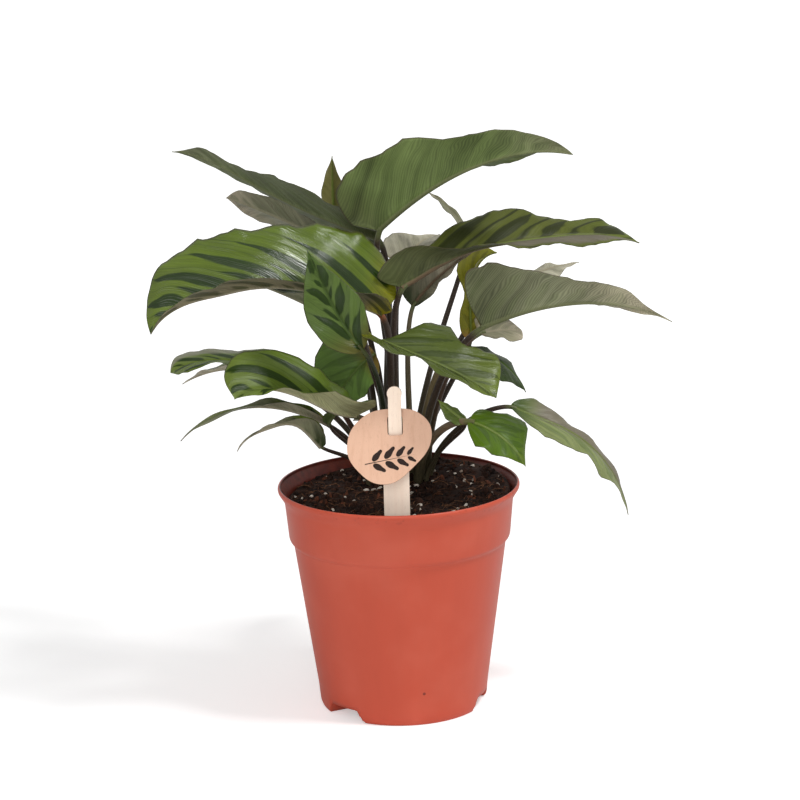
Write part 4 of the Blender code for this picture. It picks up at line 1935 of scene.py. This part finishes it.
UPPER_YELLOW = replace(
    UPPER, ground=(122, 120, 38), stripe=(84, 82, 28), base=(158, 112, 56), tip=(122, 122, 32),
    contrast=0.5,
)
UPPER_DROOPING = replace(
    UPPER, base=(56, 76, 24), base_reach=0.22, ground=(124, 134, 82), stripe=(84, 102, 48),
    tip=(136, 138, 106), contrast=0.5, band=(112, 104, 92), band_from=-2.0, band_to=0.15, band_start=0.14,
)
UNDER_GREEN = Skin(
    ground=(92, 106, 60), stripe=(74, 88, 46), base=(78, 86, 50), tip=(106, 108, 78), rib=(104, 108, 74),
    edge=(74, 62, 54), veins=0.22, tides=1.1, depth=0.18, roughness=0.5, contrast=0.3, patch=0.4,
    specular=0.12,
)
UNDER_SHADED = replace(
    UNDER_GREEN, ground=(84, 88, 58), stripe=(66, 72, 42), base=(74, 80, 46), tip=(132, 122, 106),
    rib=(120, 98, 78),
)
UNDER_GREY = replace(
    UNDER_GREEN, ground=(116, 116, 92), stripe=(94, 98, 74), base=(98, 98, 72), tip=(150, 142, 122),
    rib=(136, 132, 108), contrast=0.5,
)
UNDER_PINK = replace(
    UNDER_GREY, ground=(142, 138, 114), stripe=(112, 112, 86), base=(122, 112, 88), tip=(168, 158, 138),
    rib=(150, 142, 120),
)
UNDER_PALE = replace(
    UNDER_PINK, ground=(178, 174, 152), stripe=(152, 150, 126), tip=(190, 184, 164), patch=0.7,
)
UNDER_BEIGE = replace(
    UNDER_PINK, ground=(150, 150, 112), stripe=(126, 126, 90), base=(146, 144, 106), veins=0.35,
)
UNDER_STREAKED = replace(
    UNDER_PINK, ground=(112, 106, 82), stripe=(56, 60, 34), base=(150, 140, 30), base_reach=0.12,
    contrast=0.8, tip=(134, 128, 98),
)

LEAVES = (
    Leaf(
        "top_right", (-7, 10, 240), (-16, -8), (43, 35.5, 24, 11, -12), 109, 76,
        (58, 56, 54, 45, 15, -15, -12, 15, 40), (75, 75), (10, 10), belly=0.16, blunt=4, taper=(1, 1),
        wave=1.6, root=(2, 29), hook=0.08, halves=(0.8, 1),
        right_edge=(0.95, 0.82, 0.86, 0.93, 0.78, 0.93, 1.08, 1.25, 1.8), lobes=(0, 9), stem=1.6,
        slot="leaf_underside", upper=UPPER, under=replace(UNDER_GREEN, tip=(116, 118, 88), veins=0.32),
        layout=StripeLayout(22, 1.0, 0.008, seed=1),
    ),
    Leaf(
        "top_left", (-6, 24, 233), (155, 160), (16, 18, 23, 25, 2), 121, 42, (0, -5), (15, 12),
        (-55, -45, -65), halves=(1, 0.85), belly=0.35, wave=1, waves=1.6, phase=2.5, root=(-6, 31.5),
        hook=0.08, stem=1.6, left_edge=(1, 1, 0.85, 1.05, 1.15, 0.95, 0.85, 1.5, 1),
        right_edge=(1, 1, 0.95, 0.8, 0.75, 0.8, 1), slot="leaf_underside", upper=UPPER,
        under=replace(UNDER_GREEN, ground=(96, 104, 72), base=(70, 76, 44), base_reach=0.3, tip=(116, 120,
            92)),
        layout=StripeLayout(21, 1.5, seed=2),
    ),
    Leaf(
        "broad_left", (-6, -8, 202), (-162, -165), (29, 24, 19, 12, 2, -9, -9, -28, -60), 125, 74,
        (42, 41, 38, 38, 44, 50, 50, 44, 40), (45, 25), (18, 18), halves=(0.6, 1), belly=0.35, blunt=3.5,
        taper=(2.6, 1), wave=1.1, waves=2, root=(-5, 21), hook=0.1,
        right_edge=(1.1, 1.04, 1.0, 0.93, 0.88, 0.95, 1.12, 1.3, 1.15),
        left_edge=(1.3, 1.25, 0.72, 0.5, 0.6, 0.9, 1, 1, 1), lobes=(2, 6), stem=1.7, slot="leaf_bright",
        upper=UPPER_GLOSSY, under=UNDER_STREAKED, joint=(120, 74, 46),
        layout=StripeLayout(24, 1.4, 0.012, 0.52, 0.95, 0.4, seed=3),
    ),
    Leaf(
        "inner_left", (-15.5, -49, 194), (167, 160), (46, 60, 66, 66), 55, 27, (12, 5), (12, 5), (60, 60),
        blunt=2.6, wave=1, root=(-5.5, 5), left_edge=(0.9, 1.1, 1.1, 1), right_edge=(0.8, 1, 0.9, 0.7),
        upper=replace(UPPER_DARK, base=(82, 80, 34), ground=(74, 92, 42), stripe=(32, 48, 12), rib=(60, 78,
            34), tides=1.0, specular=0.12),
        under=UNDER_GREEN, joint=(60, 66, 30), stalk=(40, 46, 30),
        layout=StripeLayout(18, 1.3, 0.015, 0.58, 0.95, 0.4, seed=4),
    ),
    Leaf(
        "young_top", (-29.5, 56, 236), (100, 80), (82, 86), 34, 13, (25, 25), (25, 25), wave=0.5,
        root=(-9.5, 34.5), slot="leaf_bright",
        upper=replace(UPPER_YELLOW, contrast=0, ground=(104, 100, 58), tip=(96, 92, 56), base=(86, 84, 48)),
        under=replace(UNDER_GREEN, ground=(104, 104, 66)), layout=StripeLayout(10, seed=5),
    ),
    Leaf(
        "upper_right", (4, -2, 214), (8, 22), (28, 28, 20, 7, 3, 1.5, -3, -12, -24), 129, 58, (45, 25),
        (80, 80, 32, 12, -3, -10, -12, -14, -15), halves=(1, 0.85), belly=0.3, blunt=3.5, wave=1,
        waves=3.5, root=(1, 24), hook=0.1, left_edge=(0.3, 0.4, 0.57, 0.72, 0.92, 0.84, 0.93, 2.2, 4),
        right_edge=(1, 0.75, 0.45, 0.45, 0.5, 0.75, 1.25, 1.3, 2), lobes=(0, 13), stem=1.6,
        upper=UPPER_OLIVE, under=UNDER_SHADED, layout=StripeLayout(30, 1.6, 0.012, 0.56, 1.0, 0.0, seed=6),
    ),
    Leaf(
        "long_right", (42, -22, 197), (-15, -10), (26, 5, -26), 97, 60,
        (50, 50, 48, 40, 20, -20, -10, -35, -20), (72, 65), (10, 10), halves=(0.75, 1), belly=0.16,
        blunt=4, taper=(1, 1), wave=1.6, root=(11, 21), left_edge=(1, 1, 1, 1, 1, 1, 1, 0.7, 0.4),
        right_edge=(1.0, 0.98, 0.95, 0.79, 0.72, 0.85, 0.9, 0.52, 0.3), stem=1.5, slot="leaf_underside",
        upper=UPPER,
        under=replace(UNDER_GREEN, ground=(116, 118, 92), base=(92, 96, 68), base_reach=0.4, tip=(168, 160,
            136), tip_reach=0.6, contrast=0.2, veins=0.42),
        layout=StripeLayout(21, 1.0, 0.01, seed=7),
    ),
    Leaf(
        "centre_front", (-16, -38, 201), (-14, -14), (-26, -22, -38), 73, 48, (5, 28), (22, 8), (-12, -12),
        left_edge=(0.3, 0.05, 0.62, 1.12, 1.15, 0.72, 1.0, 1.6, 1.5),
        right_edge=(2.6, 1.7, 1.3, 0.9, 0.62, 0.75, 1.1, 1, 1), halves=(1, 0.6), belly=0.58, blunt=1.9,
        taper=(2, 1), root=(1, 0), hook=0.06, stem=1.4,
        upper=replace(UPPER, ground=(72, 84, 32), stripe=(38, 50, 16), contrast=0.6, specular=0.2,
            roughness=0.25),
        under=UNDER_GREY, layout=StripeLayout(20, 1.7, short=0.35, seed=8),
    ),
    Leaf(
        "small_right", (32, 14, 180), (6, 11), (-10, -65), 44, 32, (10, 5), (-5, -25), (-10, -10),
        left_edge=(0.2, 0.5, 1, 1), halves=(0.7, 1), wave=0.8, root=(11, 27.5), stem=1.7,
        stalk=(128, 114, 82), joint=(110, 106, 70), slot="leaf_dark",
        upper=replace(UPPER_DARK, ground=(44, 60, 18), stripe=(26, 40, 6), base=(60, 66, 26), tip=(44, 60,
            22), contrast=0.45, specular=0.1),
        under=UNDER_GREY, layout=StripeLayout(14, seed=9),
    ),
    Leaf(
        "low_right", (35, -22, 150.5), (-14, -26), (-12, -60), 37, 35, (15, 8), (-5, -10), (-10, -5),
        left_edge=(1, 0.75, 1.3, 1.25, 1), right_edge=(0.6, 1, 1, 1.1), belly=0.35, blunt=3, wave=1,
        root=(9.5, 17.5), stem=1.7, stalk=(124, 106, 84), joint=(96, 98, 58), slot="leaf_bright",
        upper=replace(UPPER, ground=(74, 100, 16), stripe=(48, 72, 6), base=(78, 100, 16), tip=(80, 100,
            24), contrast=0.5),
        under=UNDER_GREY, layout=StripeLayout(14, seed=10),
    ),
    Leaf(
        "drooping_right", (57, 8, 150), (0, 0), (-27, -24, -42, -62, -80), 87, 21, (25, 15), (5, -20),
        (-20, 0), wave=1.2, waves=4, root=(15, 24.5),
        left_edge=(1.3, 1.3, 0.75, 0.5, 0.45, 0.6, 0.7, 0.8, 1),
        right_edge=(1, 1.3, 1.6, 1.5, 1, 1.7, 1.3, 1, 1), upper=UPPER_DROOPING, under=UNDER_PINK,
        layout=StripeLayout(24, 2.2, seed=11),
    ),
    Leaf(
        "front_left", (-20, -28, 156), (-158, -160, -162, -154, -120), (8, 30, 24, 6, -20), 69, 46,
        (58, 42, 36, 0, -30), (42, 44, 42, 40, 35), (20, 0), belly=0.4, blunt=3, taper=(3, 1.2),
        root=(-8.5, 16.5), stalk=(96, 70, 54), stem=1.4, left_edge=(1.6, 1.0, 0.5, 0.35, 0.5),
        lobes=(8, 0), right_edge=(0.8, 0.72, 0.7, 0.78, 0.9, 1.05, 1.25, 1.65, 2.2), upper=UPPER_FRONT,
        under=UNDER_BEIGE, layout=StripeLayout(27, 2.0, 0.012, 0.45, 1.0, 0.3, seed=12),
    ),
    Leaf(
        "middle_left", (-38, 18, 158), (163, 163, 163, 168, 185), (22, 19, 8, -6, -30), 82, 30, (10, -10),
        (20, 10, 12, 12, 40), (5, 0), taper=(6, 1), root=(-14.5, 26), stalk=(84, 60, 48),
        left_edge=(1, 0.8, 0.6, 0.45, 1.5), right_edge=(1, 1, 1.08, 0.78, 1.3),
        upper=replace(UPPER_FRONT, band_from=0.55, band_start=0.55), under=UNDER_GREY,
        layout=StripeLayout(20, 2.4, 0.01, 0.42, seed=13),
    ),
    Leaf(
        "thin_left", (-71, 36, 165), (143, 149), (2, -32), 50, 12, wave=0.6, root=(-13.5, 31),
        slot="leaf_underside", upper=UPPER, under=UNDER_PALE, layout=StripeLayout(12, seed=14),
    ),
    Leaf(
        "low_left", (-35, 4, 144), (-170, -166), (32, 0, -46), 80, 13, (40, 40, 20, -30, 10), (50, 40),
        right_edge=(1, 1, 0.75, 0.9, 0.45, 0.35, 0.4, 0.6, 1), belly=0.3, taper=(1, 1), wave=1,
        root=(-14.5, 23), slot="leaf_underside",
        upper=replace(UPPER_DEEP, band=(118, 120, 96), band_from=-2.0, band_start=0.36), under=UNDER_PINK,
        layout=StripeLayout(16, 1.6, seed=15),
    ),
    Leaf(
        "lowest_left", (-38, -15, 137), (-160, -166), (52, 44, -8, -20, -62), 52, 22, (30, 50), (60, 60),
        belly=0.25, taper=(1, 1), wave=1, root=(-14.5, 18), left_edge=(1, 1, 0.6, 0.4, 0.5),
        right_edge=(1, 0.75, 0.3, 0.2, 0.4), stem=0.9,
        upper=replace(UPPER_DEEP, band=(124, 122, 100), band_from=-2.0, band_start=0.4),
        under=replace(UNDER_PINK, base=(44, 56, 20), base_reach=0.6), layout=StripeLayout(14, seed=16),
    ),
    Leaf(
        "shaded_centre", (-10, 3, 180), (180, 180), (-35, -75), 40, 44, (10, 5), (10, 5), (60, 60),
        left_edge=(0.6, 0.6, 0.6), blunt=3, wave=1, root=(-7, 26), hook=0.06, slot="leaf_dark",
        upper=UPPER_SHADED, under=UNDER_PINK, layout=StripeLayout(16, seed=17),
    ),
    Leaf(
        "rear_left", (-32, 62, 225), (143, 143), (18, 10), 70, 34, roll=(-55, -55), waves=2,
        halves=(0.6, 1.25), root=(-5, 35), taper=(5, 1.1), right_edge=(1, 1, 1, 1, 1.1, 1.3),
        slot="leaf_underside", upper=UPPER, under=UNDER_GREY, layout=StripeLayout(18, seed=18),
    ),
    Leaf(
        "rear_centre", (4, 60, 212), (72, 56), (20, 0), 46, 32, wave=1, root=(0, 33.5),
        slot="leaf_underside", upper=replace(UNDER_PALE, ground=(160, 156, 136), stripe=(134, 132, 110)),
        under=UPPER_DEEP, layout=StripeLayout(16, seed=19),
    ),
    Leaf(
        "rear_top", (39.5, 54, 227), (134, 129), (50, 13), 40, 18, wave=0.8, root=(7.5, 35), hook=0.06,
        left_edge=(0.55, 0.55, 0.55), right_edge=(0.25, 0.25, 0.25), slot="leaf_underside",
        upper=UNDER_GREY, under=UPPER_DEEP, layout=StripeLayout(14, seed=20),
    ),
    Leaf(
        "rear_right", (56, 46, 203), (44, 42), (10, -2), 56, 18, right=(-20, -25), root=(15, 33.5),
        rise=0.55, left_edge=(0.5, 0.5, 0.5), right_edge=(1, 1.0, 0.5), slot="leaf_underside",
        upper=UNDER_PALE, under=UPPER_DEEP, layout=StripeLayout(16, seed=21),
    ),
    Leaf(
        "rear_low", (-4, 50, 121), (95, 92), (16, -50), 70, 34, wave=1.2, root=(2.5, 37), upper=UPPER,
        under=UNDER_GREY, layout=StripeLayout(18, seed=22),
    ),
    Leaf(
        "under_right", (42, 2, 189), (24, 20), (4, -10), 23, 32, right=(-20, -20), left_edge=(1, 0.9, 1.1),
        right_edge=(0.45, 0.5, 0.9), taper=(4, 0.8), blunt=3, wave=0.6, root=(14.5, 28),
        stalk=(92, 72, 60), slot="leaf_underside", upper=UNDER_PINK, under=UPPER_DEEP,
        layout=StripeLayout(14, seed=23),
    ),
    Leaf(
        "yellowing", (38.5, 32, 179), (100, 90, 60, 20, 0), (85, 80, 76, 58, 4), 50, 22, (30, 30),
        (30, 30), left_edge=(1, 0.65, 0.35, 2.0, 5), wave=1, root=(9.5, 30.5), slot="leaf_yellowing",
        upper=UPPER_YELLOW, under=UPPER_YELLOW, layout=StripeLayout(14, seed=24),
    ),
    Leaf(
        "rear_inner", (9, 18, 200), (33, 20), (44, 24), 44, 36, right_edge=(0.35, 0.25, 0.15, 0.15),
        roll=(-45, -45), root=(7, 29.5), stalk=(108, 98, 76), hook=0.1, slot="leaf_underside",
        upper=replace(UNDER_SHADED, ground=(156, 148, 128), stripe=(130, 124, 102), base=(50, 60, 34),
            base_reach=0.55),
        under=UPPER_DEEP, layout=StripeLayout(16, seed=25),
    ),
    Leaf(
        "under_left", (-24, 12, 192), (-160, -167), (36, 22), 52, 32, wave=1, root=(-10, 29), rise=0.6,
        slot="leaf_dark", upper=UPPER_DARK, under=UNDER_GREY, layout=StripeLayout(16, seed=26),
    ),
    Leaf(
        "sprout_left", (-34, -8, 147), (-20, -60), (60, 20), 16, 14, wave=0.4, root=(-11, 19), stem=0.8,
        slot="leaf_bright", upper=replace(UPPER, ground=(104, 138, 40), contrast=0.2), under=UNDER_GREEN,
        layout=StripeLayout(9, seed=27),
    ),
    Leaf(
        "sprout_right", (34, -18, 149), (165, 165), (30, 45), 18, 9, left=(-25, -25),
        left_edge=(1.4, 1.4, 1.2), wave=0.4, root=(13.5, 18), stem=0.8, slot="leaf_underside",
        upper=replace(UPPER, ground=(70, 84, 30), contrast=0.3), under=UNDER_PALE,
        layout=StripeLayout(9, seed=28),
    ),
)


def main() -> None:
    """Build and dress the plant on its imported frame."""
    logging.basicConfig(level=logging.INFO, format="%(name)s: %(message)s")
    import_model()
    Studio().build()
    pot_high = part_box("pot")[1]
    soil_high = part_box("soil")[1]
    pot = NurseryPot(rim_radius=pot_high[0] / MM + LIP_OVERHANG, height=pot_high[2] / MM)
    pieces = [pot.dress(pot.build())]
    pieces += PottingSoil(top=soil_high[2] / MM, radius=soil_high[0] / MM).build()
    pieces += PlantLabel().build()
    pieces += Foliage(LEAVES, soil_top=soil_high[2] / MM).build()
    for piece in pieces:
        report(piece)


if __name__ == "__main__":
    main()
